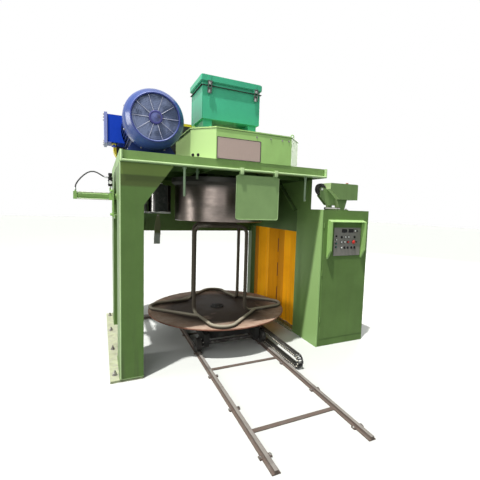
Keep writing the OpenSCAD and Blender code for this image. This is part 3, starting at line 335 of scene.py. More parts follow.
def add_tube(bm, path, radius, sides=8):
    """A closed tube along a path, with one radius or one for each point."""
    path = [Vector(point) for point in path]
    radii = radius if isinstance(radius, list) else [radius] * len(path)
    rings, side = [], None
    for i, point in enumerate(path):
        along = (path[min(i + 1, len(path) - 1)] - path[max(i - 1, 0)]).normalized()
        side = (side or along.orthogonal()) - (side or along.orthogonal()).dot(along) * along
        side.normalize()
        other = along.cross(side)
        rings.append([bm.verts.new(point + radii[i] * (math.cos(math.tau * k / sides) * side
                                                       + math.sin(math.tau * k / sides) * other))
                      for k in range(sides)])
    for first, second in zip(rings, rings[1:]):
        for k in range(sides):
            bm.faces.new((first[k], first[(k + 1) % sides], second[(k + 1) % sides], second[k]))
    bm.faces.new(rings[0][::-1])
    bm.faces.new(rings[-1])


def piece(name, bm, material, body="machine"):
    """A finished piece from a drawn mesh, smooth but for its sharp edges, riding on a body."""
    bmesh.ops.recalc_face_normals(bm, faces=bm.faces)
    mesh = bpy.data.meshes.new(name)
    bm.to_mesh(mesh)
    bm.free()
    mesh.shade_smooth()
    mesh.set_sharp_from_angle(angle=math.radians(40))
    mesh.materials.append(material)
    made = bpy.data.objects.new(name, mesh)
    bpy.context.collection.objects.link(made)
    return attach(made, body)


def built(name, material, *steps, body="machine"):
    """A piece made in steps, each one a function that adds a shape and what it needs."""
    bm = bmesh.new()
    for add, *sizes in steps:
        add(bm, *sizes)
    return piece(name, bm, material, body)


def add_weld(bm, start, end, size=0.005):
    """A rippled weld bead between two points."""
    start, end = Vector(start), Vector(end)
    steps = max(4, round((end - start).length / 0.006))
    chance = random.Random(steps)
    radii = [size * (0.86 + 0.26 * (i % 2) + 0.14 * chance.random()) for i in range(steps + 1)]
    add_tube(bm, [start.lerp(end, i / steps) for i in range(steps + 1)], radii, 6)


def growing_tree(name, inputs):
    """An empty geometry node tree with named inputs, and its two ends."""
    tree = bpy.data.node_groups.new(name, "GeometryNodeTree")
    for label, kind in [("Geometry", "Geometry"), *inputs, ("Finish", "Material")]:
        tree.interface.new_socket(label, in_out="INPUT", socket_type="NodeSocket" + kind)
    tree.interface.new_socket("Geometry", in_out="OUTPUT", socket_type="NodeSocketGeometry")
    return tree, node(tree, "NodeGroupInput").outputs, node(tree, "NodeGroupOutput").inputs


def number(tree, a, b, operation="MULTIPLY"):
    """A product or the like in a growing tree, not held within 0 and 1."""
    return node(tree, "ShaderNodeMath", {0: a, 1: b}, operation=operation).outputs[0]


def vector(tree, **axes):
    return node(tree, "ShaderNodeCombineXYZ", axes).outputs[0]


def moved(tree, shape, offset=(0, 0, 0), turn=(0, 0, 0)):
    return node(tree, "GeometryNodeTransform",
                {"Geometry": shape, "Translation": offset, "Rotation": turn}).outputs[0]


def joined(tree, *shapes):
    made = node(tree, "GeometryNodeJoinGeometry")
    for shape in shapes:
        tree.links.new(shape, made.inputs[0])
    return made.outputs[0]


def end_tree(tree, instances, given, result):
    """Realizes the instances and gives them their finish."""
    real = node(tree, "GeometryNodeRealizeInstances", {"Geometry": instances})
    done = node(tree, "GeometryNodeSetMaterial", {"Geometry": real.outputs[0], "Material": given["Finish"]})
    tree.links.new(done.outputs[0], result["Geometry"])


def grown(name, tree, seeds, values, body="machine"):
    """A piece grown by a tree from (point, facing) seeds and kept as a plain mesh."""
    mesh = bpy.data.meshes.new(name)
    mesh.from_pydata([point for point, facing in seeds], [], [])
    sides = mesh.attributes.new("facing", "FLOAT_VECTOR", "POINT")
    for item, (point, facing) in zip(sides.data, seeds):
        item.vector = facing
    carrier = bpy.data.objects.new(name, mesh)
    bpy.context.collection.objects.link(carrier)
    modifier = carrier.modifiers.new("growth", "NODES")
    modifier.node_group = tree
    for item in tree.interface.items_tree:
        if item.in_out == "INPUT" and item.name in values:
            modifier[item.identifier] = values[item.name]
    graph = bpy.context.evaluated_depsgraph_get()
    plain = bpy.data.meshes.new_from_object(carrier.evaluated_get(graph), depsgraph=graph)
    bpy.data.objects.remove(carrier)
    plain.name = name
    made = bpy.data.objects.new(name, plain)
    bpy.context.collection.objects.link(made)
    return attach(made, body)


# Hexagon heads on washers, each turned at random about its own axis
bolt_heads, given, result = growing_tree(
    "bolt_heads", [("Head Width", "Float"), ("Head Height", "Float"), ("Turn Seed", "Int")])
high = given["Head Height"]
radius = number(bolt_heads, given["Head Width"], 0.577)
half = number(bolt_heads, high, 0.5)
thin = number(bolt_heads, half, 0.4)
head = node(bolt_heads, "GeometryNodeMeshCylinder", {"Vertices": 6, "Radius": radius, "Depth": high}).outputs[0]
crown = node(bolt_heads, "GeometryNodeMeshCone", {
    "Vertices": 6, "Radius Bottom": radius, "Radius Top": number(bolt_heads, radius, 0.84), "Depth": thin}).outputs[0]
washer = node(bolt_heads, "GeometryNodeMeshCylinder", {
    "Vertices": 14, "Radius": number(bolt_heads, radius, 1.35), "Depth": thin}).outputs[0]
whole = joined(bolt_heads, moved(bolt_heads, head, vector(bolt_heads, Z=half)), washer,
               moved(bolt_heads, crown, vector(bolt_heads, Z=high)))
spin = node(bolt_heads, "FunctionNodeRandomValue", {"Seed": given["Turn Seed"], 3: 3.14}, data_type="FLOAT")
own_turn = node(bolt_heads, "FunctionNodeEulerToRotation", {0: vector(bolt_heads, Z=spin.outputs[1])})
facing = node(bolt_heads, "GeometryNodeInputNamedAttribute", {"Name": "facing"}, data_type="FLOAT_VECTOR")
aimed = node(bolt_heads, "FunctionNodeAlignRotationToVector",
             {"Rotation": own_turn.outputs[0], "Vector": facing.outputs[0]}, axis="Z")
placed = node(bolt_heads, "GeometryNodeInstanceOnPoints",
              {"Points": given["Geometry"], "Instance": whole, "Rotation": aimed.outputs[0]})
end_tree(bolt_heads, placed.outputs[0], given, result)


def bolts(name, seeds, material, width=0.024, high=0.012, body="machine"):
    """Bolt heads at (point, facing) seeds."""
    return grown(name, bolt_heads, seeds, {"Head Width": width, "Head Height": high, "Turn Seed": 7,
                                           "Finish": material}, body)


def row(start, end, count, facing):
    """Evenly spaced seeds from one point to another, both included."""
    start, end = Vector(start), Vector(end)
    return [(start.lerp(end, i / max(1, count - 1)), facing) for i in range(count)]


def paint_left_light(material, colour):
    """Paints the faces that look to the left in a paler colour, as painted light from the window there."""
    tree = material.node_tree
    paint_over(material, times(tree, between(tree, looks(tree, "X"), -0.45, -0.62), 0.9), colour)


# The four ways in which most bolts and turned bodies point
UP, DOWN, FRONT, BACK = (0, 0, 1), (0, 0, -1), (0, -1, 0), (0, 1, 0)
green = enamel("green_enamel", (0.099, 0.183, 0.045))
wall_green = enamel("wall_enamel", (0.104, 0.188, 0.048))
# The wall's faces that look to the left are painted paler, as painted light
paint_left_light(wall_green, (0.205, 0.345, 0.105))
# The wedge of the wall that the sun reaches under the beam is painted paler, a painted pool of sunlight
tree = wall_green.node_tree
sun_slope = 0.171
wedge_edge = at(0, 0, 0).y + sun_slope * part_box("front_beam")[0].z
across = node(tree, "ShaderNodeVectorMath", {0: own_place(tree), 1: (0, 1, sun_slope)}, operation="DOT_PRODUCT")
painted_sunlight = between(tree, across.outputs["Value"], wedge_edge + 0.010, wedge_edge - 0.060)
paint_over(wall_green, times(tree, painted_sunlight, 0.85), (0.45, 0.71, 0.26))
# Below the beam the front of the left leg has a paler band and a darker band, painted light and painted shadow of the
# beam's flange
leg_green = enamel("leg_enamel", (0.099, 0.183, 0.045))
tree = leg_green.node_tree
height, on_front = lies_at(tree, "Z"), between(tree, looks(tree, "Y"), -0.5, -0.8)
painted_shadow_band = times(tree, between(tree, height, 1.766, 1.786), between(tree, height, 1.884, 1.870))
paint_over(leg_green, times(tree, between(tree, height, 1.870, 1.884), on_front, 0.60), (0.185, 0.250, 0.060))
paint_over(leg_green, times(tree, painted_shadow_band, on_front, 0.70), (0.060, 0.072, 0.018))
# The front beam has a paler copy of the frame green, painted light for the brighter light at its height
beam_lit_green = enamel("beam_lit_enamel", (0.210, 0.345, 0.108))
# The sole plates are worn and dusty, and their paler green is also painted light on faces that look up
foot_lit_green = enamel("foot_lit_enamel", (0.42, 0.46, 0.27), wear=1.0, dust=1.0, stain=0.7)
pale_green = enamel("pale_green_enamel", (0.40, 0.66, 0.215), wear=0.4, dust=0.6, stain=0.12)
# The left side beam has a paler copy of the green, painted light from the window at the left
side_lit_green = enamel("side_lit_enamel", (0.25, 0.40, 0.145), wear=0.5, dust=0.6, stain=0.3)
bolt_steel = steel("bolt_steel", (0.42, 0.41, 0.39), 0.38, spread=0.5, patch=30.0)
finish_nodes(foot_lit_green, "left_sole_plate", "right_sole_plate")
finish_nodes(leg_green, "left_front_leg")
finish_nodes(green, "left_rear_leg", "right_rear_leg", "rear_beam", "right_side_beam", "deck_plate",
             "rear_panel", "door_header", "press_crossbeam", "spindle_housing")
finish_nodes(wall_green, "right_front_leg")
finish_nodes(beam_lit_green, "front_beam")
finish_nodes(side_lit_green, "left_side_beam")
frame_depth, beam_z, deck_z = 2.08, 1.985, 2.085
leg_w, leg_depth, sole_t, wall_x = 0.2, 0.54, 0.02, 2.14
beads = bmesh.new()
for y0, y1 in ((0, leg_depth), (frame_depth - leg_depth, frame_depth)):
    inner = y1 - 0.008 if y1 == frame_depth else y1
    for start, end in (((0, y0), (leg_w, y0)), ((leg_w, y0), (leg_w, inner)), ((leg_w, y1), (0, y1)),
                       ((0, inner), (0, y0))):
        if (start[1], end[1]) != (frame_depth, frame_depth):
            add_weld(beads, at(*start, sole_t), at(*end, sole_t), 0.006)
under_beam, far_end = beam_z - 0.002, leg_depth + 0.44
for start, end, size in (((0.004, 0.002), (leg_w + 0.26, 0.002), 0.004),
                         ((0.002, leg_depth), (0.002, far_end), 0.004), ((wall_x, 0.26), (wall_x, far_end), 0.005)):
    add_weld(beads, at(*start, under_beam), at(*end, under_beam), size)
for x in (0.025, wall_x):
    add_weld(beads, at(x, 0.075, deck_z), at(x, frame_depth - 0.075, deck_z), 0.004)
    add_weld(beads, at(x, 0.026, beam_z + 0.018), at(x, 0.026, deck_z - 0.018), 0.004)
for y in (0.075, frame_depth - 0.075):
    add_weld(beads, at(0.025, y, deck_z), at(wall_x, y, deck_z), 0.004)
piece("frame_welds", beads, green)

# Flanges that stand out in front of the beam, with rolled edges that catch the light, in a pale paint that is a painted
# highlight
edges = bmesh.new()
roll_r, end_roll_r = 0.0105, 0.0120
roll_y, end_roll_y = roll_r - 0.030, end_roll_r - 0.030
add_tube(edges, [at(x, roll_y, beam_z + roll_r) for x in (0.012, wall_x + 0.013)], roll_r, 12)
add_block(edges, at(0.001, roll_y, beam_z), at(wall_x + 0.024, 0.001, beam_z + 0.007), 0.001)
for x in (0.0125, wall_x + 0.0125):
    add_tube(edges, [at(x, end_roll_y, z) for z in (beam_z + 0.006, deck_z)], end_roll_r, 12)
    add_block(edges, at(x - 0.010, end_roll_y, beam_z + 0.002), at(x + 0.010, 0.001, deck_z), 0.001)
lip_highlight_paint = enamel("lip_highlight_enamel", (0.56, 0.76, 0.38), wear=0.5, dust=0.5, stain=0.2)
piece("beam_edges", edges, lip_highlight_paint)
# The rolled front edge of the left leg in the same pale paint, a painted highlight
built("leg_edges", lip_highlight_paint, (add_tube, [at(0.0045, 0.0045, z) for z in (sole_t, beam_z)], 0.0060, 12))

fixing_dark = steel("blackened_steel", (0.07, 0.07, 0.07), 0.5, spread=0.6, tarnish=(0.03, 0.028, 0.025))
anchor_steps = [0.12 + i * (frame_depth - 0.24) / 3 for i in range(4)]
anchor_places = [at(-0.0425, y, sole_t) for y in anchor_steps]
anchor_places += [at(wall_x + 0.2225, anchor_steps[i], sole_t) for i in (1, 3)]
built("anchor_studs", bolt_steel, *((add_rod, spot - Vector((0, 0, 0.01)), spot + Vector((0, 0, 0.042)), 0.0098, 14)
                                    for spot in anchor_places))
bolts("anchor_nuts", [(spot, UP) for spot in anchor_places], bolt_steel, 0.032, 0.018)


# Gearbox with its plate
# Welded steel housing in the paler green, with a bolted lid, four lifting eyes, a breather and a
# bare aluminium plate held by rivets. The seam below the lid is a dark line of sealant.
housing_green = enamel("housing_enamel", (0.40, 0.65, 0.215), wear=0.4, dust=0.6, stain=0.12)
# The housing's faces that look to the left are painted paler, as painted light
paint_left_light(housing_green, (0.64, 0.90, 0.37))
finish_nodes(housing_green, "gearbox_housing")
box_left, box_right, box_front, box_back, box_cut = 0.66, 1.90, 0.004, 0.924, 0.2
lid_top, seam_z = deck_z + 0.305, deck_z + 0.305 - 0.0135
inset, side_from, side_to = 0.030, box_cut + 0.03, box_back - 0.04
lid_bolts = []
for (x0, y0), (x1, y1), count in (
        ((box_left + box_cut, box_front + inset), (box_right - box_cut, box_front + inset), 8),
        ((box_left + inset, side_from), (box_left + inset, side_to), 7),
        ((box_right - inset, side_from), (box_right - inset, side_to), 7),
        ((box_left + 0.12, box_back - inset), (box_right - 0.12, box_back - inset), 9),
        ((box_left + 0.07, box_cut - 0.032), (box_left + 0.16, box_cut - 0.122), 2),
        ((box_right - 0.07, box_cut - 0.032), (box_right - 0.16, box_cut - 0.122), 2)):
    lid_bolts += row(at(x0, y0, lid_top), at(x1, y1, lid_top), count, UP)
bolts("gearbox_lid_bolts", lid_bolts, pale_green, 0.020, 0.007)
foot_bolts = []
for x in (box_left - 0.017, box_right + 0.017):
    foot_bolts += row(at(x, 0.32, deck_z + 0.016), at(x, 0.82, deck_z + 0.016), 4, UP)
bolts("gearbox_foot_bolts", foot_bolts, bolt_steel, 0.024, 0.014)
side_screws = [(at(x, box_front, lid_top - 0.052), FRONT) for x in (1.29, 1.45, 1.585, 1.665)]
bolts("gearbox_side_screws", side_screws, bolt_steel, 0.013, 0.006)
cut_side = Vector((-1, -1, 0)).normalized()
cut_screws = [(at(box_left + away, box_front + box_cut - away, deck_z + 0.040), cut_side) for away in (0.020, 0.062)]
bolts("gearbox_corner_bolts", cut_screws, fixing_dark, 0.020, 0.012)
dark_seal = steel("dark_seal", (0.05, 0.05, 0.045), 0.6, spread=1.0, tarnish=(0.03, 0.03, 0.028))
outline = [(box_left, box_cut), (box_left + box_cut, 0), (box_right - box_cut, 0), (box_right, box_cut),
           (box_right, box_back - box_front), (box_left, box_back - box_front), (box_left, box_cut)]
built("gearbox_seam", dark_seal, (add_tube, [at(x, box_front + y, seam_z) for x, y in outline], 0.0025, 6))

eyes, eye_r = bmesh.new(), 0.018
for x, y in ((box_left + 0.07, 0.36), (box_right - 0.12, 0.13), (box_left + 0.07, 0.86), (box_right - 0.07, 0.86)):
    add_turned(eyes, at(x, y, lid_top), UP,
               [(0, 0), (0.02, 0), (0.02, 0.007), (0.012, 0.012), (0.008, 0.02), (0, 0.02)], 20)
    turns = [math.tau * i / 20 for i in range(21)]
    add_tube(eyes, [at(x + eye_r * math.sin(turn), y, lid_top + 0.034 - eye_r * math.cos(turn)) for turn in turns],
             0.0055, 8)
piece("gearbox_lifting_eyes", eyes, pale_green)
built("gearbox_breather", bolt_steel, (
    add_turned, at(1.56, 0.70, lid_top), UP,
    [(0, 0), (0.022, 0), (0.022, 0.012), (0.013, 0.014), (0.013, 0.03), (0.026, 0.032), (0.028, 0.037),
     (0.028, 0.052), (0.022, 0.06), (0, 0.062)], 24))

plate_low, plate_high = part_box("name_plate")
plate_metal = steel("plate_aluminium", (0.435, 0.345, 0.305), 0.42, grain=(14, 1, 1), scale=40.0, relief=0.05)
finish_nodes(plate_metal, "name_plate")
edges = [Vector((x, plate_low.y - 0.0006, z)) for x, z in
         ((plate_low.x, plate_low.z), (plate_high.x, plate_low.z), (plate_high.x, plate_high.z),
          (plate_low.x, plate_high.z), (plate_low.x, plate_low.z))]
built("name_plate_rim", steel("plate_rim", (0.10, 0.09, 0.085), 0.5),
      *((add_tube, ends, 0.0034, 6) for ends in zip(edges, edges[1:])))
rivet = [(0, -0.001), (0.0055, -0.001), (0.0055, 0.001), (0.004, 0.0028), (0, 0.0034)]
built("name_plate_rivets", bolt_steel, *((add_turned, (x, plate_low.y, z), FRONT, rivet, 14)
                                         for x in (plate_low.x + 0.014, plate_high.x - 0.014)
                                         for z in (plate_low.z + 0.014, plate_high.z - 0.014)))


# Upper box
# Teal sheet box on two channels, with a lid that overhangs it, two toggle latches in front, two
# hinges behind and a rubber strip between lid and box.
teal = enamel("teal_enamel", (0.066, 0.49, 0.285), wear=0.35, dust=0.5, stain=0.1, gloss=0.28)
dark_steel = steel("dark_steel", (0.11, 0.11, 0.115), 0.42, spread=0.35, patch=20.0)
finish_nodes(teal, "top_box", "top_box_lid")
lid_low, lid_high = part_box("top_box_lid")
tub_low, tub_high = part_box("top_box")
latches, catch_plates = bmesh.new(), bmesh.new()
for x in (lid_low.x + 0.085, lid_high.x - 0.075):
    add_block(catch_plates, (x - 0.020, lid_low.y - 0.003, lid_low.z + 0.002),
              (x + 0.020, lid_low.y + 0.001, lid_low.z + 0.040), 0.001)
    for side in (-0.017, 0.017):
        bends = ((lid_low.y - 0.005, lid_low.z + 0.034), (lid_low.y - 0.009, lid_low.z),
                 (lid_low.y + 0.003, lid_low.z - 0.030), (tub_low.y - 0.007, lid_low.z - 0.075))
        add_tube(latches, [(x + side, y, z) for y, z in bends], 0.0045, 10)
    for z, out in ((0.034, -0.005), (-0.030, 0.003)):
        spot = Vector((x, lid_low.y + out, lid_low.z + z))
        add_rod(latches, spot - Vector((0.022, 0, 0)), spot + Vector((0.022, 0, 0)), 0.005, 12)
    add_block(catch_plates, (x - 0.013, tub_low.y - 0.006, lid_low.z - 0.078),
              (x + 0.013, tub_low.y + 0.001, lid_low.z - 0.020), 0.002)
for x in (lid_low.x + 0.12, lid_high.x - 0.12):
    add_rod(latches, (x - 0.035, lid_high.y + 0.004, lid_low.z), (x + 0.035, lid_high.y + 0.004, lid_low.z),
            0.007, 12)
    add_block(latches, (x - 0.033, lid_high.y - 0.001, lid_low.z + 0.002),
              (x + 0.033, lid_high.y + 0.003, lid_low.z + 0.034), 0.001)
piece("top_box_latches", latches, dark_steel)
piece("latch_plates", catch_plates, steel("zinc_plate", (0.46, 0.47, 0.45), 0.35, spread=0.35, patch=25.0))
built("top_box_seal", dark_seal, (add_block, (tub_low.x - 0.003, tub_low.y - 0.003, lid_low.z - 0.004),
                                  (tub_high.x + 0.003, tub_high.y + 0.003, lid_low.z + 0.0005), 0.001))
wall_in = 0.014
bolts("top_box_foot_bolts", [((x, y, lid_top), UP) for x in (tub_low.x + wall_in + 0.065, tub_high.x - wall_in - 0.065)
                             for y in (tub_low.y + 0.02, tub_high.y - 0.02)], bolt_steel, 0.018, 0.010)
built("top_box_seams", teal, *((add_weld, (x, y, tub_low.z + 0.107), (x, y, lid_low.z - 0.012), 0.003)
                               for x in (tub_low.x + wall_in, tub_high.x - wall_in)
                               for y in (tub_low.y + wall_in, tub_high.y - wall_in)))


# Motor
# Finned motor in blue enamel. The fan cowl is a lighter, shinier blue, its opening is covered by
# rings of wire and light ribs in front of a screen, and its rim is rolled outwards.
blue = enamel("blue_enamel", (0.008, 0.062, 0.58), wear=0.3, dust=0.3, stain=0.08, gloss=0.30, shine=0.12)
body_blue = enamel("motor_enamel", (0.013, 0.040, 0.20), wear=0.3, dust=0.3, stain=0.3, stain_height=4.0)
cowl_blue = enamel("cowl_enamel", (0.042, 0.084, 0.31), wear=0.3, dust=0.2, stain=0.1, gloss=0.16, peel=0.02,
                   shine=0.50)
rim_blue = enamel("rim_enamel", (0.040, 0.062, 0.27), wear=0.2, dust=0.1, stain=0.0, gloss=0.25, peel=0.02)
tree = rim_blue.node_tree
# Faces of the rims that look up are painted a paler blue, as painted light
paint_over(rim_blue, between(tree, looks(tree, "Z"), 0.15, 0.7), (0.26, 0.31, 0.60))
hub_blue = enamel("hub_enamel", (0.060, 0.062, 0.25), wear=0.2, dust=0.3, stain=0.3, gloss=0.4, stain_height=4.0)
finish_nodes(body_blue, "motor_body")
term_low, term_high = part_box("terminal_box")
lid_x = term_low.x
# The lid of the terminal box, which looks to the left, is painted a paler lilac blue as a painted highlight
tree = blue.node_tree
lid_highlight_share = times(tree, between(tree, lies_at(tree, "X"), lid_x + 0.032, lid_x + 0.029), 0.85)
paint_over(blue, lid_highlight_share, (0.36, 0.40, 0.72))
finish_nodes(blue, "terminal_box")
finish_nodes(cowl_blue, "motor_cowl")
motor_x, motor_z, motor_front, guard_r = 0.300, deck_z + 0.310, 0.010, 0.205
motor_end = at(motor_x, motor_front, motor_z)


def spokes(count, first=0.0, upright=True):
    """Unit vectors evenly round a circle that stands across the machine, or lies flat."""
    turns = [math.tau * (i + first) / count for i in range(count)]
    return [Vector((math.cos(turn), 0, math.sin(turn)) if upright else (math.cos(turn), math.sin(turn), 0))
            for turn in turns]


def rolled(radius, out, thick, sides):
    """The outline of a round wire or rolled rim."""
    return [(radius + thick * math.cos(math.tau * k / sides), thick * math.sin(math.tau * k / sides) + out)
            for k in range(sides)]


screen_r = guard_r - 0.0005
screen_paint = steel("fan_screen", (0.22, 0.265, 0.40), 0.5, scale=120.0, spread=0.6, tarnish=(0.115, 0.150, 0.26))
built("fan_screen", screen_paint, (add_turned, motor_end, FRONT, [
    (0.062, -0.0235), (screen_r, -0.0235), (screen_r, -0.0195), (0.062, -0.0195)], 64))
ring_count = 9
built("fan_rings", screen_paint, *((add_turned, motor_end, FRONT, rolled(
    0.072 + i * (guard_r - 0.078) / (ring_count - 1), -0.0155, 0.0014, 6), 64) for i in range(ring_count)))
built("fan_ribs", steel("rib_paint", (0.46, 0.48, 0.56), 0.38, relief=0.02), *(
    (add_tube, [motor_end + Vector((0, 0.012, 0)) + r * way for r in (0.055, guard_r + 0.001)], [0.0030, 0.0019], 8)
    for way in spokes(10)))
built("cowl_rims", rim_blue, *((add_turned, motor_end, FRONT, rolled(radius, out, thick, 10), 96) for radius, thick, out
                               in ((guard_r + 0.0045, 0.0085, 0.001), (0.266, 0.004, -0.096))))
built("cowl_hub", hub_blue, (add_turned, motor_end, FRONT, [
    (0, -0.012), (0.060, -0.012), (0.060, 0.0005), (0.056, 0.0035), (0.048, 0.0045), (0.044, 0.002),
    (0.022, 0.002), (0.018, 0.0045), (0, 0.005)], 48))
built("cowl_hub_cap", steel("hub_cap_paint", (0.105, 0.125, 0.28), 0.5, spread=0.5), (add_turned, motor_end, FRONT, [
    (0, 0.0005), (0.0425, 0.0005), (0.0425, 0.0028), (0.022, 0.0034), (0.018, 0.0056), (0, 0.0060)], 40))
bolts("cowl_screws", [(motor_end + Vector((0, 0.172, 0)) + 0.270 * way, way) for way in spokes(8, 0.5)],
      bolt_steel, 0.014, 0.007)
motor_bolts = [(at(x, y, deck_z + 0.03 + 0.012), UP) for y in (0.33, 0.92) for x in (motor_x - 0.200, motor_x + 0.200)]
built("motor_foot_pads", body_blue, *(
    (add_turned, spot - Vector((0, 0, 0.03)), UP, [(0, 0), (0.032, 0), (0.032, 0.026), (0.028, 0.03), (0, 0.03)], 20)
    for spot, _ in motor_bolts))
bolts("motor_foot_bolts", motor_bolts, bolt_steel, 0.030, 0.018)
bolts("motor_shield_bolts", [(at(motor_x, 1.07 - 0.066, motor_z) + 0.215 * way, BACK) for way in spokes(8, 0.5)],
      bolt_steel, 0.020, 0.012)
bolts("terminal_box_screws", [((lid_x, y, z), (-1, 0, 0)) for y in (term_low.y + 0.02, (term_low.y + term_high.y) / 2,
                                                                    term_high.y - 0.02)
                              for z in (term_high.z - 0.022, term_high.z - 0.288)], bolt_steel, 0.014, 0.007)
built("terminal_box_seal", dark_seal, (add_block, (lid_x + 0.0285, term_low.y + 0.013, term_high.z - 0.297),
                                       (lid_x + 0.0325, term_high.y - 0.013, term_high.z - 0.013), 0.001))
yellow = enamel("yellow_enamel", (0.86, 0.70, 0.05), wear=0.4, dust=0.4, stain=0.15)
built("terminal_gland", yellow, (add_turned, (lid_x + 0.095, term_low.y + 0.075, term_low.z), UP, [
    (0.012, 0.0), (0.022, 0.001), (0.027, 0.006), (0.027, 0.020), (0.031, 0.022), (0.031, 0.034),
    (0.026, 0.036), (0.012, 0.036)], 6))


# Belt drive
# Yellow guard around the pulleys behind motor and gearbox, its rear window covered by woven wire,
# with four belts that run on grooved pulleys inside.
def rubber(name, colour=(0.018, 0.018, 0.019), rough=0.55):
    """Dusty black rubber or moulded plastic."""
    made, tree, shader = new_material(name)
    lies = node(tree, "ShaderNodeGroup", {"Dust": 0.45}, node_tree=grime).outputs
    base = blended(tree, cloudy(tree, own_place(tree), 22.0, 5), colour, [1.9 * part + 0.004 for part in colour])
    tree.links.new(blended(tree, lies["Dust"], base, (0.16, 0.15, 0.13)), shader["Base Color"])
    tree.links.new(maths(tree, "ADD", rough, times(tree, lies["Cloud"], 0.15)), shader["Roughness"])
    return made


black_rubber = rubber("black_rubber")
guard_low, guard_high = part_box("belt_guard")
# The front of the guard, behind the motor, is painted black within its yellow rim as painted shade
tree = yellow.node_tree
shaded_front = times(tree, between(tree, looks(tree, "Y", "True Normal"), -0.5, -0.9),
               between(tree, lies_at(tree, "Y"), guard_low.y + 0.02, guard_low.y + 0.01))
for axis, low, high in (("X", guard_low.x, guard_high.x), ("Z", guard_low.z, guard_high.z)):
    for start, step in ((low, 1), (high, -1)):
        shaded_front = times(tree, shaded_front, between(tree, lies_at(tree, axis), start + step * 0.030, start + step * 0.032))
paint_over(yellow, shaded_front, (0.030, 0.031, 0.030))
finish_nodes(yellow, "belt_guard")
finish_nodes(black_rubber, "drive_belts", "air_hose")
woven, given, result = growing_tree("woven_wire", [("Size X", "Float"), ("Size Z", "Float"), ("Cell", "Float"),
                                                   ("Wire", "Float")])
counts = [node(woven, "FunctionNodeFloatToInt", {0: number(woven, given[label], given["Cell"], "DIVIDE")},
               rounding_mode="ROUND").outputs[0] for label in ("Size X", "Size Z")]
grid = node(woven, "GeometryNodeMeshGrid", {"Size X": given["Size X"], "Size Y": given["Size Z"],
                                            "Vertices X": counts[0], "Vertices Y": counts[1]})
upright = moved(woven, grid.outputs["Mesh"], turn=(math.pi / 2, 0, 0))
centred = node(woven, "GeometryNodeInstanceOnPoints", {"Points": given["Geometry"], "Instance": upright})
flat = node(woven, "GeometryNodeRealizeInstances", {"Geometry": centred.outputs[0]})
lines = node(woven, "GeometryNodeMeshToCurve", {"Mesh": flat.outputs[0]})
round_wire = node(woven, "GeometryNodeCurvePrimitiveCircle", {"Resolution": 4, "Radius": given["Wire"]})
wire_mesh = node(woven, "GeometryNodeCurveToMesh", {"Curve": lines.outputs[0],
                                                    "Profile Curve": round_wire.outputs[0], "Fill Caps": True})
end_tree(woven, wire_mesh.outputs[0], given, result)
mesh_low, mesh_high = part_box("belt_guard_mesh")
guard_wire = grown("belt_guard_wire", woven, [((mesh_low + mesh_high) / 2, BACK)],
                   {"Size X": mesh_high.x - mesh_low.x - 0.082, "Size Z": mesh_high.z - mesh_low.z - 0.082,
                    "Cell": 0.021, "Wire": 0.0014, "Finish": dark_steel})
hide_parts("belt_guard_mesh")
rim_bolts = []
for z in (guard_low.z + 0.025 + 0.028, guard_high.z - 0.028):
    rim_bolts += row((guard_low.x + 0.16, guard_high.y, z), (guard_high.x - 0.16, guard_high.y, z), 7, BACK)
bolts("belt_guard_screws", rim_bolts, bolt_steel, 0.014, 0.006)
belt_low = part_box("drive_belts")[0]
grooves = bmesh.new()
for x, radius in ((motor_x, 0.110), (1.275, 0.180)):
    for i in range(5):
        add_turned(grooves, at(x, belt_low.y - corner.y - 0.0045 + i * 0.025, motor_z), BACK,
                   [(radius - 0.004, -0.003), (radius + 0.007, -0.0025), (radius + 0.007, 0.0025),
                    (radius - 0.004, 0.003)], 64)
piece("pulley_grooves", grooves, dark_steel)


# Front guard and rods
# Sheet plate with hemmed edges that hangs in front of the drum from two hooks over the beam's
# flange, and the threaded rods beside it with their nuts.
plate_green = enamel("plate_enamel", (0.255, 0.395, 0.158), wear=0.5, dust=0.3, stain=0.25, gloss=0.32)
rod_green = enamel("rod_enamel", (0.27, 0.37, 0.235), wear=0.5, dust=0.3, stain=0.25)
finish_nodes(plate_green, "front_guard")
finish_nodes(rod_green, "hanger_rods")
sheet_low, sheet_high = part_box("front_guard")
sheet_top = sheet_low.z + 0.450
hem = bmesh.new()
bend = 0.022
left, right, bottom = sheet_low.x + 0.003, sheet_high.x - 0.003, sheet_low.z + 0.003
path = [Vector((left, sheet_low.y, sheet_top - 0.01))]
for centre, start in (((left + bend, bottom + bend), math.pi), ((right - bend, bottom + bend), 1.5 * math.pi)):
    for i in range(7):
        turn = start + i * math.pi / 12
        path.append(Vector((centre[0] + bend * math.cos(turn), sheet_low.y, centre[1] + bend * math.sin(turn))))
path.append(Vector((right, sheet_low.y, sheet_top - 0.01)))
add_tube(hem, path, 0.0042, 8)
# The hem is a paler green than the sheet, a painted highlight on its rounded edge
piece("front_guard_hem", hem, enamel("hem_highlight_enamel", (0.36, 0.52, 0.24), wear=0.6, dust=0.3, stain=0.1))
hooks = bmesh.new()
for x in (1.105, 1.490):
    add_block(hooks, at(x, -0.0355, beam_z - 0.034), at(x + 0.040, -0.0310, beam_z + 0.032), 0.0015)
    add_block(hooks, at(x, -0.0350, beam_z + 0.0275), at(x + 0.040, 0.0005, beam_z + 0.032), 0.001)
    add_block(hooks, at(x, -0.0350, beam_z - 0.034), at(x + 0.040, -0.0055, beam_z - 0.0295), 0.001)
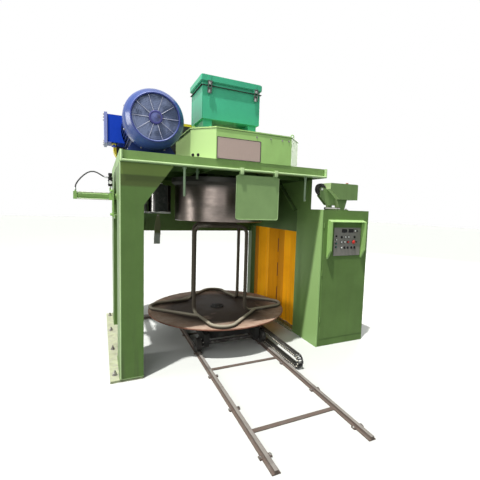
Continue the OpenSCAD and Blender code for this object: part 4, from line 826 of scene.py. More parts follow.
# The hooks have the same pale paint, a painted highlight
piece("front_guard_hooks", hooks, lip_highlight_paint)
threads = bmesh.new()
for x, y, drop in ((0.565, 0.030, 0.275), (1.910, 0.030, 0.270), (0.757, 0.300, 0.085)):
    foot = at(x, y, beam_z - drop)
    add_turned(threads, foot + Vector((0, 0, drop - 0.022)), UP,
               [(0.0118, 0), (0.019, 0.001), (0.021, 0.005), (0.021, 0.017), (0.019, 0.021), (0.0118, 0.022)], 6)
    for i in range(9):
        add_turned(threads, foot + Vector((0, 0, 0.004 + 0.006 * i)), UP,
                   [(0.0112, -0.0022), (0.0128, 0), (0.0112, 0.0022)], 20)
piece("rod_nuts", threads, rod_green)


# Control cabinet
# Tall sheet steel cabinet with an overlaid door, hinge barrels at its left edge, and louvres low on
# its back. Its enamel is worn at the edges, and the side that looks to the windows is painted paler as painted light.
cabinet_green = enamel("cabinet_enamel", (0.138, 0.238, 0.068), wear=0.4, dust=0.35, stain=0.16, stain_height=1.1,
                       shine=0.15)
# The cabinet's faces that look to the left are painted paler, as painted light
paint_left_light(cabinet_green, (0.225, 0.365, 0.120))
finish_nodes(cabinet_green, "cabinet_body")
cabinet_low, cabinet_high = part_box("cabinet_body")
louvre_tree, given, result = growing_tree("louvres", [("Length", "Float"), ("Rise", "Float")])
half_round = node(louvre_tree, "GeometryNodeMeshCylinder", {"Vertices": 16, "Radius": 1.0, "Depth": given["Length"]})
lying = moved(louvre_tree, half_round.outputs["Mesh"], turn=(0, math.pi / 2, 0))
scale = node(louvre_tree, "ShaderNodeCombineXYZ", {"X": 1.0, "Y": given["Rise"], "Z": 0.011}).outputs[0]
shaped = node(louvre_tree, "GeometryNodeTransform", {"Geometry": lying, "Scale": scale}).outputs[0]
pressed = node(louvre_tree, "GeometryNodeInstanceOnPoints", {"Points": given["Geometry"], "Instance": shaped})
end_tree(louvre_tree, pressed.outputs[0], given, result)
louvre_rows = []
for x in (cabinet_low.x + 0.20, cabinet_low.x + 0.49):
    for first in (0.30, 1.34):
        louvre_rows += row((x, cabinet_high.y, first), (x, cabinet_high.y, first + 0.18), 7, BACK)
grown("cabinet_louvres", louvre_tree, louvre_rows, {"Length": 0.22, "Rise": 0.009, "Finish": cabinet_green})
barrels = bmesh.new()
door_left = cabinet_low.x + 0.022
for z in (0.30, 0.86, 1.42):
    for low in (z, z + 0.032):
        add_rod(barrels, (door_left, cabinet_low.y - 0.003, low), (door_left, cabinet_low.y - 0.003, low + 0.029),
                0.0065, 14)
add_weld(barrels, (cabinet_low.x + 0.002, cabinet_low.y + 0.004, 0.02),
         (cabinet_low.x + 0.002, cabinet_low.y + 0.004, 1.62), 0.0022)
piece("cabinet_hinges", barrels, cabinet_green)


# Hood and control panel
# Sheet hood welded round a grey panel. The panel carries two dark displays, lamps, selector
# switches, round push buttons, one large red stop button and bare label strips.
finish_nodes(pale_green, "panel_hood")
hood_low, hood_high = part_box("panel_hood")
board_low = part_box("control_panel")[0]
board_paint = enamel("panel_paint", (0.280, 0.265, 0.243), wear=0.15, dust=0.2, stain=0.25, gloss=0.45,
                     stain_height=3.0, peel=0.02)
finish_nodes(board_paint, "control_panel")
welds = bmesh.new()
weld_y = cabinet_low.y + 0.001
for x in (hood_low.x, hood_high.x):
    add_weld(welds, (x, weld_y, hood_low.z + 0.02), (x, weld_y, hood_high.z - 0.01), 0.003)
add_weld(welds, (hood_low.x, weld_y, hood_high.z), (hood_high.x, weld_y, hood_high.z), 0.003)
piece("hood_welds", welds, pale_green)


def moulding(name, colour, rough=0.35, share=0.25):
    """Smooth moulded plastic with a share of dust as a faint haze."""
    made, tree, shader = new_material(name)
    haze = between(tree, cloudy(tree, own_place(tree), 60.0, 4), 0.45, 0.8)
    tree.links.new(blended(tree, times(tree, haze, share), colour, (0.30, 0.29, 0.27)),
                   shader["Base Color"])
    tree.links.new(maths(tree, "ADD", rough, times(tree, haze, 0.2)), shader["Roughness"])
    shader["Specular IOR Level"].default_value = 0.2
    return made


black = moulding("black_moulding", (0.010, 0.010, 0.011), share=0.05)
white_cap = moulding("white_moulding", (0.86, 0.86, 0.83), share=0.1)
teal_cap = moulding("teal_moulding", (0.008, 0.125, 0.100), share=0.1)
red_cap = moulding("red_moulding", (0.80, 0.055, 0.045), share=0.1)
window_glass = moulding("display_window", (0.005, 0.005, 0.006), 0.12, 0.02)
chrome = steel("chrome", (0.72, 0.72, 0.74), 0.14, spread=0.1, relief=0.02)
face_y = board_low.y


def on_board(x, z, out=0.0):
    return Vector((board_low.x + x / 1000, face_y - out, board_low.z + z / 1000))


bezels, pointers, strips = bmesh.new(), bmesh.new(), bmesh.new()
caps = {paint: bmesh.new() for paint in (white_cap, teal_cap, red_cap, black)}
lamps = [(32, 191, 10, white_cap), (32, 148, 10, teal_cap), (32, 105, 10, teal_cap), (165, 223, 13, white_cap),
         (213, 223, 13, white_cap), (108, 163, 13, white_cap), (158, 163, 13, white_cap), (210, 163, 13, red_cap),
         (113, 96, 13, white_cap), (309, 297, 14, white_cap)]
selectors = [(32, 234, 10), (113, 223, 13), (308, 223, 13), (338, 297, 10)]
knobs = [(161, 96, 13), (210, 96, 13), (266, 96, 13), (314, 96, 13)]
for x, z, radius in [entry[:3] for entry in lamps] + selectors + knobs:
    r = radius / 1000
    add_turned(bezels, on_board(x, z), FRONT,
               [(0, -0.001), (r + 0.003, -0.001), (r + 0.003, 0.002), (r + 0.001, 0.0042), (r - 0.002, 0.0042),
                (r - 0.0022, 0.001), (0, 0.001)], 28)
for x, z, radius, paint in lamps:
    r = radius / 1000 - 0.0024
    add_turned(caps[paint], on_board(x, z), FRONT,
               [(0, 0.0005), (r, 0.0005), (r, 0.0085), (0.86 * r, 0.0108), (0.5 * r, 0.0118), (0, 0.012)], 28)
for x, z, radius in selectors + knobs:
    r = radius / 1000 - 0.0024
    add_turned(caps[black], on_board(x, z), FRONT,
               [(0, 0.0005), (r, 0.0005), (r, 0.0075), (0.9 * r, 0.009), (0, 0.009)], 28)
    grip = Matrix.Rotation(math.radians(-38 if (x + z) % 2 else 24), 4, "Y")
    handle, tip, tip_size = on_board(x, z, 0.0135), grip @ Vector((0, 0, 0.55 * r)), Vector((0.1 * r, 0.0004, 0.3 * r))
    add_block(caps[black], handle - Vector((0.28 * r, 0.0045, 0.95 * r)), handle + Vector((0.28 * r, 0.005, 0.95 * r)),
              0.0009, grip)
    tip += on_board(x, z, 0.0182)
    add_block(pointers, tip - tip_size, tip + tip_size, 0, grip)
stop = (288, 163)
add_turned(bezels, on_board(*stop), FRONT,
           [(0, -0.001), (0.020, -0.001), (0.020, 0.003), (0.0175, 0.0055), (0, 0.0055)], 32)
add_turned(caps[red_cap], on_board(*stop), FRONT,
           [(0, 0.004), (0.012, 0.004), (0.012, 0.008), (0.0225, 0.0095), (0.0230, 0.012), (0.0205, 0.0155),
            (0.0125, 0.0180), (0, 0.0188)], 36)
add_turned(caps[black], on_board(332, 163), FRONT,
           [(0, -0.001), (0.009, -0.001), (0.009, 0.008), (0.007, 0.010), (0, 0.010)], 24)
for x, z in ((32, 248), (32, 205), (32, 162), (113, 244), (165, 244), (213, 244), (308, 244), (108, 184), (158, 184),
             (210, 184), (161, 117), (210, 117), (266, 117), (314, 117)):
    add_block(strips, on_board(x - 9, z - 1.5, 0.0008), on_board(x + 9, z + 1.5, -0.0005), 0)
add_block(strips, on_board(250, 218, 0.0008), on_board(280, 226, -0.0005), 0)
frames, glass = bmesh.new(), bmesh.new()
for x in (112, 212):
    for x0, z0, x1, z1 in ((0, 277, 70, 281), (0, 315, 70, 319), (0, 281, 4, 315), (66, 281, 70, 315)):
        add_block(frames, on_board(x + x0, z0, 0.006), on_board(x + x1, z1, -0.001), 0.0008)
    add_block(glass, on_board(x + 3, 280, 0.0035), on_board(x + 67, 316, -0.001), 0)
switchgear = [piece("panel_bezels", bezels, black), piece("panel_pointers", pointers, white_cap),
              piece("display_frames", frames, black), piece("display_windows", glass, window_glass),
              piece("panel_strips", strips, moulding("label_strips", (0.34, 0.33, 0.30)))]
for paint, mesh in caps.items():
    switchgear.append(piece(paint.name.replace("moulding", "caps"), mesh, paint))
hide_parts("panel_buttons")
bolts("panel_screws", [(on_board(x, z), FRONT) for x in (10, 390) for z in (10, 168, 325)], bolt_steel, 0.008, 0.003)


# Die box with stand, guide wheel and trough
# Cast box with a lid on a seal, the stand below it, and the trough with the guide wheel on its pin.
# A length of bright steel bar lies on the cabinet below the trough.
box_green = enamel("die_box_enamel", (0.185, 0.300, 0.105), wear=0.55, dust=0.5, stain=0.3, stain_height=3.0)
# The die box's faces that look to the left are painted paler, as painted light
paint_left_light(box_green, (0.74, 0.95, 0.48))
finish_nodes(box_green, "die_box", "die_box_stand", "guide_bracket")
finish_nodes(steel("wheel_steel", (0.30, 0.29, 0.28), 0.28, grain=(1, 12, 1), scale=90.0, spread=0.85, patch=12.0,
                   tarnish=(0.018, 0.017, 0.016)), "guide_wheel")
die_low, die_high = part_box("die_box")
lid_edge = die_high.z - 0.030
built("die_box_seal", dark_seal, (add_block, (die_low.x + 0.005, die_low.y + 0.005, lid_edge - 0.002),
                                  (die_high.x - 0.005, die_high.y - 0.005, lid_edge + 0.001), 0))
knob_at = Vector((die_high.x - 0.060, (die_low.y + die_high.y) / 2, lid_edge))
built("die_box_knob", red_cap, (add_turned, knob_at, UP, [
    (0, 0.022), (0.0155, 0.022), (0.0175, 0.025), (0.0175, 0.0285), (0.012, 0.0298), (0, 0.0298)], 24))
guide_low, guide_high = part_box("guide_wheel")
pin = (guide_low + guide_high) / 2
caps_out = bmesh.new()
for side, y in ((-1, guide_low.y), (1, guide_high.y)):
    add_turned(caps_out, (pin.x, y, pin.z), (0, side, 0),
               [(0, -0.006), (0.0135, -0.006), (0.0145, -0.003), (0.0135, 0.002), (0.010, 0.004), (0, 0.0045)], 24)
piece("guide_wheel_nuts", caps_out, chrome, "guide_wheel_body")
stand_x, stand_y, cabinet_top = 2.28, 0.05, 1.64
bolts("stand_foot_bolts", [(at(stand_x + x, stand_y + y, cabinet_top), UP)
                           for x in (0.180, 0.282) for y in (0.052, 0.152)],
      bolt_steel, 0.018, 0.010)
bright_bar = steel("bright_bar", (0.62, 0.60, 0.58), 0.22, grain=(1, 14, 14), scale=50.0, spread=0.12, relief=0.05)
bar_y, bar_z = 0.085, cabinet_top + 0.006
built("steel_bar", bright_bar, *((add_rod, at(start, bar_y, bar_z), at(end, bar_y, bar_z), radius, 20)
                                 for start, end, radius in ((2.232, 2.405, 0.0155), (2.412, 2.452, 0.0125))))


# Press roller with its air cylinder
# Air cylinder with tie rods and a flange on the crossbeam, a pressure regulator on top, a short
# hose, and the fork that pushes a ground steel roller against the drum.
cylinder_paint = enamel("cylinder_enamel", (0.30, 0.50, 0.155), wear=0.4, dust=0.6, stain=0.25, stain_height=3.0)
ground_steel = steel("ground_steel", (0.19, 0.185, 0.18), 0.12, grain=(1, 1, 10), scale=30.0, spread=0.22, patch=3.5,
                     tarnish=(0.10, 0.09, 0.08), relief=0.04)
fork_steel = steel("fork_steel", (0.20, 0.21, 0.17), 0.45, spread=0.75, patch=7.0, tarnish=(0.055, 0.062, 0.042))
# The bottom plate of the fork is painted bright steel, a painted highlight
tree = fork_steel.node_tree
height = lies_at(tree, "Z")
sole = times(tree, between(tree, height, 1.520, 1.524), between(tree, height, 1.546, 1.542))
paint_over(fork_steel, sole, (0.66, 0.65, 0.62))
press_y, press_z = 0.870, 1.695
finish_nodes(cylinder_paint, "press_cylinder")
finish_nodes(ground_steel, "piston_rod")
# The middle of the roller's front side is painted dark in clouds, grease that is also a painted dark reflection between
# its bright edges
roller_steel = ground_steel.copy()
roller_steel.name = "roller_steel"
tree = roller_steel.node_tree
shader = tree.nodes["Principled BSDF"].inputs
roller_x = 0.470
middle, across = at(roller_x, press_y, 0), lies_at(tree, "X")
grease_and_painted_dark = times(tree, between(tree, lies_at(tree, "Y"), middle.y - 0.070, middle.y - 0.092),
               between(tree, across, middle.x - 0.075, middle.x - 0.060),
               between(tree, across, middle.x + 0.078, middle.x + 0.062),
               between(tree, cloudy(tree, own_place(tree), 11.0, 6, 0.7), 0.20, 0.45))
tone = blended(tree, cloudy(tree, own_place(tree), 30.0, 5), (0.020, 0.021, 0.020), (0.095, 0.098, 0.092))
paint_over(roller_steel, grease_and_painted_dark, tone)
tree.links.new(maths(tree, "SUBTRACT", shader["Metallic"].links[0].from_socket, grease_and_painted_dark), shader["Metallic"])
tree.links.new(maths(tree, "ADD", shader["Roughness"].links[0].from_socket, times(tree, grease_and_painted_dark, 0.5)),
               shader["Roughness"])
shader["Specular IOR Level"].default_value = 0.15
finish_nodes(roller_steel, "press_roller")
finish_nodes(fork_steel, "press_yoke")
flange_bolts = [(at(-0.035, y, z), (-1, 0, 0)) for y in (press_y - 0.048, press_y + 0.048) for z in (1.755, 1.500)]
bolts("cylinder_flange_bolts", flange_bolts, cylinder_paint, 0.024, 0.016)
valve_x, gauge_z = -0.052, 1.845
regulator = bmesh.new()
add_block(regulator, at(-0.0725, press_y - 0.0245, 1.8045), at(-0.0315, press_y + 0.0245, 1.9055), 0.002)
for z in (1.818, 1.864, 1.888):
    add_block(regulator, at(-0.076, press_y - 0.028, z), at(-0.028, press_y + 0.028, z + 0.007), 0.001)
add_turned(regulator, at(valve_x, press_y, 1.9055), UP,
           [(0, 0), (0.019, 0), (0.020, 0.003), (0.016, 0.006), (0.016, 0.012), (0.0205, 0.014), (0.0205, 0.036),
            (0.018, 0.041), (0, 0.042)], 24)
piece("air_regulator", regulator, black)
fittings = bmesh.new()
add_turned(fittings, at(valve_x, press_y - 0.0275, gauge_z), FRONT,
           [(0, 0), (0.017, 0), (0.019, 0.002), (0.019, 0.011), (0.0165, 0.013), (0.015, 0.0118), (0, 0.0118)], 28)
for x0, z0, x1, z1, radius, sides in (
        (valve_x, 1.735, valve_x, 1.752, 0.0125, 6), (valve_x, 1.788, valve_x, 1.805, 0.0125, 6),
        (-0.098, 1.900, -0.074, 1.900, 0.0105, 6), (-0.112, 1.900, -0.096, 1.900, 0.0090, 16),
        (-0.388, 1.745, -0.388, 1.757, 0.0120, 6), (-0.388, 1.757, -0.388, 1.775, 0.0092, 16)):
    add_rod(fittings, at(x0, press_y, z0), at(x1, press_y, z1), radius, sides)
for y in (press_y - 0.031, press_y + 0.031):
    for z in (press_z - 0.031, press_z + 0.031):
        for x in (-0.371, -0.077):
            add_rod(fittings, at(x, y, z), at(x + 0.008, y, z), 0.0082, 6)
piece("air_fittings", fittings, chrome)
built("cylinder_tie_rods", steel("zinc_rod", (0.40, 0.42, 0.35), 0.30, spread=0.2, patch=20.0), *(
    (add_rod, at(-0.373, y, z), at(-0.067, y, z), 0.0050, 14)
    for y in (press_y - 0.0350, press_y + 0.0350) for z in (press_z - 0.0355, press_z + 0.0355)))
built("gauge_dial", white_cap, (add_turned, at(-0.052, press_y - 0.0395, 1.845), FRONT, [
    (0, 0), (0.0148, 0), (0.0148, 0.0006), (0, 0.0006)], 28))
collars = bmesh.new()
roller_low, roller_high = 1.545, 1.845
add_turned(collars, at(roller_x, press_y, roller_high), UP,
           [(0.019, 0.0161), (0.034, 0.0161), (0.034, 0.022), (0.028, 0.0255), (0.019, 0.0255)], 32)
add_turned(collars, at(roller_x, press_y, roller_low), DOWN,
           [(0.080, -0.001), (0.1235, -0.001), (0.1235, 0.0025), (0.080, 0.0025)], 64)
piece("roller_rings", collars, steel("ring_steel", (0.88, 0.88, 0.87), 0.35, relief=0.02), "press_roller_body")
lever = bmesh.new()
lever_outline = [(0.427, 1.540), (0.457, 1.540), (0.466, 1.470), (0.473, 1.400), (0.475, 1.300), (0.470, 1.235),
                 (0.470, 1.173), (0.402, 1.173), (0.402, 1.235), (0.406, 1.300), (0.411, 1.400), (0.424, 1.470)]
faces = []
for y in (press_y - 0.047, press_y - 0.0353):
    faces.append([lever.verts.new(at(x, y, z)) for x, z in lever_outline])
lever.faces.new(faces[0])
lever.faces.new(faces[1][::-1])
for i in range(len(lever_outline)):
    k = (i + 1) % len(lever_outline)
    lever.faces.new((faces[0][i], faces[1][i], faces[1][k], faces[0][k]))
lever_paint = enamel("lever_enamel", (0.150, 0.155, 0.065), wear=0.6, dust=0.3, stain=0.4, stain_height=3.0)
# The lower part of the lever is painted paler, as painted light
tree = lever_paint.node_tree
paint_over(lever_paint, between(tree, lies_at(tree, "Z"), 1.31, 1.27), (0.50, 0.51, 0.46))
piece("press_lever", lever, lever_paint, "press_arm")
fork_bolts = [(at(0.305 + 0.014, press_y + y, 1.847 + 0.014), UP) for y in (-0.025, 0.025)]
fork_bolts.append((at(0.442, press_y - 0.035, 1.500), FRONT))
bolts("fork_bolts", fork_bolts, bolt_steel, 0.018, 0.010, "press_arm")


# Drawing drum and its bearing housing
# Turned and worn steel drum that hangs below the deck. Wire has polished its sides in bands, grease smears darken it,
# the band below the lip is painted dark as painted shade, and its bearing housing is bolted up against the deck.
drum_steel, tree, shader = new_material("drum_steel")
place = own_place(tree)
turned_lines = cloudy(tree, place, 5.0, 6, 0.75, (0.4, 0.4, 34.0))
smears = between(tree, cloudy(tree, place, 3.2, 8, 0.7, (1, 1, 2.2)), 0.40, 0.72)
# Grease smears, and a dark band below the lip that is painted shade
grease_and_painted_dark = maths(tree, "MAXIMUM", between(tree, lies_at(tree, "Z"), 1.80, 1.87), times(tree, smears, 0.55))
tone = blended(tree, turned_lines, (0.17, 0.142, 0.128), (0.30, 0.250, 0.228))
tree.links.new(blended(tree, grease_and_painted_dark, tone, (0.040, 0.038, 0.033)), shader["Base Color"])
tree.links.new(maths(tree, "SUBTRACT", 1.0, times(tree, grease_and_painted_dark, 0.7)), shader["Metallic"])
tree.links.new(maths(tree, "ADD", 0.30, times(tree, grease_and_painted_dark, 0.22)), shader["Roughness"])
add_relief(tree, turned_lines, 0.08)
finish_nodes(drum_steel, "drum")
axis_x, axis_y = 1.195, 0.870
hub_z, flat_ring = 1.490, spokes(12, upright=False)
bolts("bearing_housing_bolts", [(at(axis_x, axis_y, 2.045) + 0.192 * way, DOWN) for way in flat_ring],
      bolt_steel, 0.024, 0.014)
bolts("drum_hub_bolts", [(at(axis_x, axis_y, hub_z) + 0.150 * way, DOWN) for way in flat_ring],
      bolt_steel, 0.026, 0.015, "drum_body")
hub = bmesh.new()
add_turned(hub, at(axis_x, axis_y, hub_z), DOWN,
           [(0, -0.002), (0.115, -0.002), (0.115, 0.018), (0.108, 0.024), (0.04, 0.024), (0.036, 0.03), (0, 0.03)], 48)
arm_size = Vector((0.150, 0.006, 0.0115))
for i, way in enumerate(spokes(8, 0.5, upright=False)):
    middle = at(axis_x, axis_y, hub_z - 0.011) + 0.325 * way
    add_block(hub, middle - arm_size, middle + arm_size, 0.002, Matrix.Rotation(math.tau * (i + 0.5) / 8, 4, "Z"))
piece("drum_hub", hub, drum_steel, "drum_body")


# Folding door and its track
# Orange folding panels between the right legs, hinged with dark red barrels, sooty at the foot,
# on pins that run in an olive yellow track.
orange = enamel("orange_enamel", (0.93, 0.385, 0.006), under=(0.16, 0.07, 0.03), wear=0.4, dust=0.15, stain=0.55,
                gloss=0.60, stain_height=0.8, dirt=(0.16, 0.06, 0.012), shine=0.08)
folds = [(30, 0.0), (60, 0.155), (30, 0.225), (80, 0.434), (30, 0.585), (80, 0.736), (30, 0.868), (50, 1.0)]
door_start, door_run, door_low, door_high = leg_depth + 0.05, 1.290, 0.180, 1.325
fold_spots = [at(wall_x + out / 1000, door_start + share * door_run, 0) for out, share in folds]
tree = orange.node_tree
shader = tree.nodes["Principled BSDF"].inputs
depth = lies_at(tree, "Y")


def behind(fold, soft=0.002):
    """1 for the part of the door behind a fold."""
    return between(tree, depth, fold_spots[fold].y - soft, fold_spots[fold].y + soft)


# The panels between the second and fourth folds, and those behind the sixth, are painted darker as painted shade
shaded_panels = times(tree, behind(2), behind(4, -0.002), 0.46)
paint_over(orange, maths(tree, "ADD", shaded_panels, times(tree, behind(6), 0.70)), (0.30, 0.085, 0.002))
# The orange also glows a little in its own colour, a painted glow for light coming through the panels
tree.links.new(shader["Base Color"].links[0].from_socket, shader["Emission Color"])
shader["Emission Strength"].default_value = 0.17
hinge_red = enamel("hinge_enamel", (0.165, 0.035, 0.012), wear=0.3, dust=0.2, stain=0.3)
olive = enamel("olive_enamel", (0.36, 0.265, 0.060), wear=0.7, dust=0.5, stain=0.7)
finish_nodes(orange, "folding_door")
finish_nodes(olive, "door_track")
knuckles, far_knuckles = bmesh.new(), bmesh.new()
for i in (1, 3, 5):
    for low in (0.09, 0.45, 0.81):
        foot = fold_spots[i] + Vector((0, 0, door_low + low))
        add_rod(knuckles if i == 3 else far_knuckles, foot, foot + Vector((0, 0, 0.20)), 0.0088, 14)
piece("door_hinge_barrels", knuckles, hinge_red)
piece("door_painted_barrels", far_knuckles, orange)
# Strips that close the slots above and below the panels
strips = bmesh.new()
for first, last in zip(fold_spots, fold_spots[1:]):
    along = (last - first).normalized() * 0.002
    aside = Vector((along.y, -along.x, 0)).normalized() * 0.0012
    ring = [first - along - aside, last + along - aside, last + along + aside, first - along + aside]
    for low, high in ((0.057, 0.181), (door_high - 0.002, door_high + 0.0085)):
        low_ring, high_ring = ([strips.verts.new(spot + Vector((0, 0, z))) for spot in ring] for z in (low, high))
        strips.faces.new(low_ring[::-1])
        strips.faces.new(high_ring)
        for i in range(4):
            strips.faces.new((low_ring[i], low_ring[(i + 1) % 4], high_ring[(i + 1) % 4], high_ring[i]))
piece("door_strips", strips, orange)
shoe = [(0.0052, 0), (0.016, 0.001), (0.017, 0.004), (0.017, 0.010), (0.012, 0.013), (0.0052, 0.013)]
built("door_pin_washers", bolt_steel, *((add_turned, spot + Vector((0, 0, 0.057)), UP, shoe, 20)
                                        for spot in fold_spots[::2]))


# Rails
# Two rails on the floor with rusty flanks and tops that the wheels keep bright, held by clips and
# bolts, with flat ties between them.
rail_steel = steel("rail_steel", (0.235, 0.200, 0.178), 0.5, grain=(1, 0.1, 1), scale=70.0, spread=0.85, patch=9.0,
                   tarnish=(0.115, 0.085, 0.070), relief=0.2)
tree = rail_steel.node_tree
run_bright = times(tree, between(tree, lies_at(tree, "Z"), 0.0290, 0.0297),
                   between(tree, cloudy(tree, own_place(tree), 8.0, 5, 0.6, (4, 0.3, 1)), 0.30, 0.46))
paint_over(rail_steel, run_bright, (0.225, 0.206, 0.188))
finish_nodes(rail_steel, "left_rail", "right_rail", "rail_ties")
clips, clip_bolts = bmesh.new(), []
for x in (0.8065, 1.5835):
    for i in range(6):
        y = -1.36 + i * 0.56
        for side in (-1, 1):
            near, far = x + side * 0.018, x + side * 0.0455
            add_block(clips, at(min(near, far), y, 0.0062), at(max(near, far), y + 0.036, 0.0105), 0.001)
            clip_bolts.append((at(x + side * 0.038, y + 0.018, 0.0105), UP))
            add_block(clips, at(min(x + side * 0.0302, far), y, 0), at(max(x + side * 0.0302, far), y + 0.036, 0.0064))
piece("rail_clips", clips, rail_steel)
bolts("rail_clip_bolts", clip_bolts, bolt_steel, 0.014, 0.005)


# Trolley
# Low welded trolley in greasy dark steel, with bolted bearing caps, grease nipples and the ring
# under the turntable.
greasy_steel = steel("greasy_steel", (0.10, 0.095, 0.09), 0.42, spread=1.0, patch=6.0, tarnish=(0.022, 0.021, 0.020))
finish_nodes(greasy_steel, "trolley_frame")
finish_nodes(steel("wheel_iron", (0.22, 0.21, 0.20), 0.34, grain=(1, 1, 1), spread=0.8, patch=14.0,
                   tarnish=(0.032, 0.029, 0.026)), "front_wheelset", "rear_wheelset")
bearing_out, wheel_steps, axle_z = 0.3315, (axis_y - 0.515, axis_y + 0.515), 0.1003
cap_bolts, nipples = [], bmesh.new()
for side in (-1, 1):
    bearing_x = axis_x + side * bearing_out
    for y in wheel_steps:
        cap_bolts += [(at(bearing_x, y + dy, axle_z + dz), (side, 0, 0)) for dy in (-0.034, 0.034)
                      for dz in (-0.022, 0.022)]
        add_turned(nipples, at(bearing_x, y, axle_z), (side, 0, 0),
                   [(0.0215, 0), (0.0300, 0), (0.0300, 0.004), (0.026, 0.007), (0.0215, 0.007)], 28)
bolts("bearing_cap_bolts", cap_bolts, bolt_steel, 0.013, 0.007, "trolley")
add_turned(nipples, at(axis_x, axis_y, 0.222), UP,
           [(0.255, 0), (0.282, 0), (0.282, 0.014), (0.276, 0.018), (0.255, 0.018)], 64)
piece("turntable_ring", nipples, greasy_steel, "trolley")
ring_bolts = [(at(axis_x, axis_y, 0.240) + 0.270 * way, UP) for way in spokes(16, upright=False)]
bolts("turntable_bolts", ring_bolts, bolt_steel, 0.012, 0.007, "trolley")


# Carrier disc
# Flame cut plate, rusty brown where dry, dark with grease and scale, its middle painted dark as painted shade of the
# deck, scratched in circles by the coils, with a burnt rim, the cap of its pivot and the weld beads of the tubes.
disc_steel, tree, shader = new_material("disc_steel")
place = own_place(tree)
hub_place = at(axis_x, axis_y, 0)
offset = node(tree, "ShaderNodeVectorMath", {0: place, 1: (hub_place.x, hub_place.y, 0.34)}, operation="SUBTRACT")
radius = node(tree, "ShaderNodeVectorMath", {0: offset.outputs[0]}, operation="LENGTH").outputs["Value"]
ring_place = node(tree, "ShaderNodeCombineXYZ", {"X": radius}).outputs[0]
worn_rings = between(tree, cloudy(tree, ring_place, 60.0, 6, 0.8), 0.42, 0.66)
worn_rings = times(tree, worn_rings, between(tree, cloudy(tree, place, 3.5, 5), 0.44, 0.64))
rust = between(tree, cloudy(tree, place, 4.2, 9, 0.72), 0.36, 0.62)
oil = times(tree, between(tree, cloudy(tree, place, 1.7, 6, 0.6), 0.50, 0.60), 0.55)
pits = between(tree, cloudy(tree, place, 95.0, 3), 0.66, 0.72)
tone = blended(tree, rust, (0.32, 0.205, 0.148), (0.49, 0.365, 0.285))
tone = blended(tree, times(tree, worn_rings, 0.55), tone, (0.50, 0.44, 0.39))
tone = blended(tree, maths(tree, "MAXIMUM", oil, times(tree, pits, 0.7)), tone, (0.105, 0.060, 0.045))
# The middle of the disc is painted dark in clouds, as painted shade from the deck above
middle = maths(tree, "SUBTRACT", 0.94, times(tree, between(tree, radius, 0.56, 0.79), 0.94))
tone = blended(tree, times(tree, middle, between(tree, cloudy(tree, place, 2.8, 7), 0.16, 0.40)),
               tone, (0.036, 0.029, 0.023))
rim = between(tree, radius, 0.832, 0.845)
tree.links.new(blended(tree, times(tree, rim, 0.8), tone, (0.24, 0.085, 0.055)), shader["Base Color"])
tree.links.new(times(tree, worn_rings, 0.15), shader["Metallic"])
tree.links.new(maths(tree, "SUBTRACT", 0.74, times(tree, maths(tree, "MAXIMUM", oil, worn_rings), 0.25)),
               shader["Roughness"])
shader["Specular IOR Level"].default_value = 0.12
add_relief(tree, cloudy(tree, place, 70.0, 5), 0.12, 0.002)
finish_nodes(disc_steel, "carrier_disc")
built("pivot_cap", greasy_steel, (add_turned, at(axis_x, axis_y, 0.346), UP, [
    (0, -0.002), (0.085, -0.002), (0.085, 0.010), (0.078, 0.014), (0.045, 0.014), (0.038, 0.028), (0.012, 0.034),
    (0, 0.034)], 48), body="carrier")
cap_ring = [(at(axis_x, axis_y, 0.360) + 0.063 * way, UP) for way in spokes(8, upright=False)]
bolts("pivot_cap_bolts", cap_ring, fixing_dark, 0.014, 0.008, "carrier")


# Tube frame of the carrier
# Bent steel tube in four leaves that rise into uprights and two hoops. Bare tube with mill scale,
# wire marks and rust, tacked to the disc with short weld beads.
tube_steel = steel("tube_steel", (0.34, 0.31, 0.27), 0.36, scale=45.0, spread=1.0, patch=5.0,
                   tarnish=(0.088, 0.074, 0.057), relief=0.08, shine=0.2)
tree = tube_steel.node_tree
# The low faces that look up are paler, worn by the wire and also painted lighter as painted sunlight
rubbed_and_sunlit = times(tree, between(tree, lies_at(tree, "Z"), 0.44, 0.40), between(tree, looks(tree, "Z"), 0.1, 0.7))
paint_over(tube_steel, rubbed_and_sunlit, (0.33, 0.300, 0.232))
finish_nodes(tube_steel, "carrier_frame")
tacks, lift = bmesh.new(), Vector((0, 0, 0.349))
carrier_turn, leaf_r, leaf_centre = math.radians(-13), 0.150, 0.845 - 0.020 - 0.150
for k in range(4):
    turn = carrier_turn + k * math.pi / 2
    middle = at(axis_x, axis_y, 0) + leaf_centre * Vector((math.cos(turn), math.sin(turn), 0)) + lift
    for away in (-0.55, 0.0, 0.55):
        way = Vector((math.cos(turn + away), math.sin(turn + away), 0))
        spot, along = middle + (leaf_r - 0.017) * way, Vector((-way.y, way.x, 0)) * 0.022
        add_weld(tacks, spot - along, spot + along, 0.0042)
piece("carrier_tack_welds", tacks, tube_steel, "carrier")


# Drag chain
# Cable chain of black plastic links in two runs joined by a bend, each link with two side plates,
# cross bars and pins. Its ends are screwed to brackets, two flat lugs hold the lower run.
chain_black = rubber("chain_plastic", (0.020, 0.020, 0.021), 0.42)
chain_tree, given, result = growing_tree("chain_links", [("Width", "Float"), ("Pitch", "Float")])
plate_x = number(chain_tree, given["Width"], 0.5)
outer_x = number(chain_tree, plate_x, 0.0016, "SUBTRACT")
inner_x = number(chain_tree, plate_x, 0.0047, "SUBTRACT")
half_pitch = number(chain_tree, given["Pitch"], 0.5)
outer_plate, inner_plate, cross_bar = (node(chain_tree, "GeometryNodeMeshCube", {"Size": size}).outputs["Mesh"] for size
                                       in ((0.003, 0.027, 0.030), (0.003, 0.030, 0.024), (0.051, 0.012, 0.003)))
pin_head = node(chain_tree, "GeometryNodeMeshCylinder", {"Vertices": 10, "Radius": 0.0058, "Depth": 0.0036}).outputs[0]
parts = []
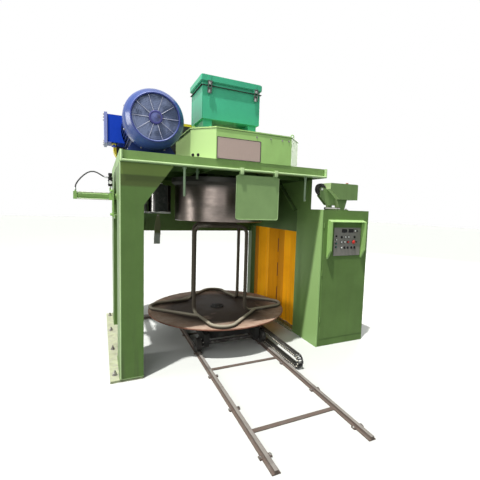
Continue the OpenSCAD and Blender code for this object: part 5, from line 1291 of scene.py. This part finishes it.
for side in (1, -1):
    outer, inner = number(chain_tree, outer_x, side), number(chain_tree, inner_x, side)
    parts.append(moved(chain_tree, outer_plate, vector(chain_tree, X=outer)))
    parts.append(moved(chain_tree, inner_plate, vector(chain_tree, X=inner, Y=half_pitch)))
    parts.append(moved(chain_tree, pin_head, vector(chain_tree, X=outer, Y=0.008), (0, math.pi / 2, 0)))
    parts.append(moved(chain_tree, cross_bar, (0, 0, side * 0.0136)))
link = joined(chain_tree, *parts)
turned = node(chain_tree, "GeometryNodeInputNamedAttribute", {"Name": "facing"}, data_type="FLOAT_VECTOR")
strung = node(chain_tree, "GeometryNodeInstanceOnPoints",
              {"Points": given["Geometry"], "Instance": link, "Rotation": turned.outputs[0]})
end_tree(chain_tree, strung.outputs[0], given, result)
chain_x, chain_bend_y, chain_bend_z, chain_bend_r = 1.6635, -0.350, 0.073, 0.055
chain_runs = ((0.900, chain_bend_z - chain_bend_r), (0.640, chain_bend_z + chain_bend_r))
chain_pitch, chain_seeds = 0.0345, []
for end, z in chain_runs:
    count = round((end - chain_bend_y) / chain_pitch)
    pitch = (end - chain_bend_y) / count
    chain_seeds += [(at(chain_x, chain_bend_y + (i + 0.5) * pitch, z), (0, 0, 0)) for i in range(count)]
for i in range(5):
    turn = math.pi / 2 + (i + 0.5) * math.pi / 5
    spot = at(chain_x, chain_bend_y + chain_bend_r * math.cos(turn), chain_bend_z + chain_bend_r * math.sin(turn))
    chain_seeds.append((spot, (turn + math.pi / 2, 0, 0)))
chain = grown("cable_chain", chain_tree, chain_seeds, {"Width": 0.060, "Pitch": chain_pitch, "Finish": chain_black})
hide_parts("drag_chain")
pin_out, pin_ahead = 0.0299, 0.008
pin_seeds = [(spot + Vector((side * pin_out, pin_ahead * math.cos(turn), pin_ahead * math.sin(turn))), (side, 0, 0))
             for spot, (turn, _, _) in chain_seeds for side in (-1, 1)]
bolts("chain_pins", pin_seeds, rubber("pin_nylon", (0.80, 0.76, 0.64), 0.45), 0.0100, 0.0018)
lugs, lug_bolts, lug_top = bmesh.new(), [], 0.006
for y in (-0.200, 0.800):
    add_block(lugs, at(1.6135, y, 0), at(1.6535, y + 0.060, lug_top), 0.001)
    lug_bolts += [(at(1.6235, y + step, lug_top), UP) for step in (0.015, 0.045)]
for y, z in chain_runs:
    for side in (-1, 1):
        add_block(lugs, at(chain_x + side * 0.0235 - 0.0015, y - 0.055, z - 0.0125),
                  at(chain_x + side * 0.0235 + 0.0015, y - 0.002, z + 0.0125), 0.0005)
piece("chain_lugs", lugs, greasy_steel)
bolts("chain_lug_bolts", lug_bolts, bolt_steel, 0.010, 0.006)
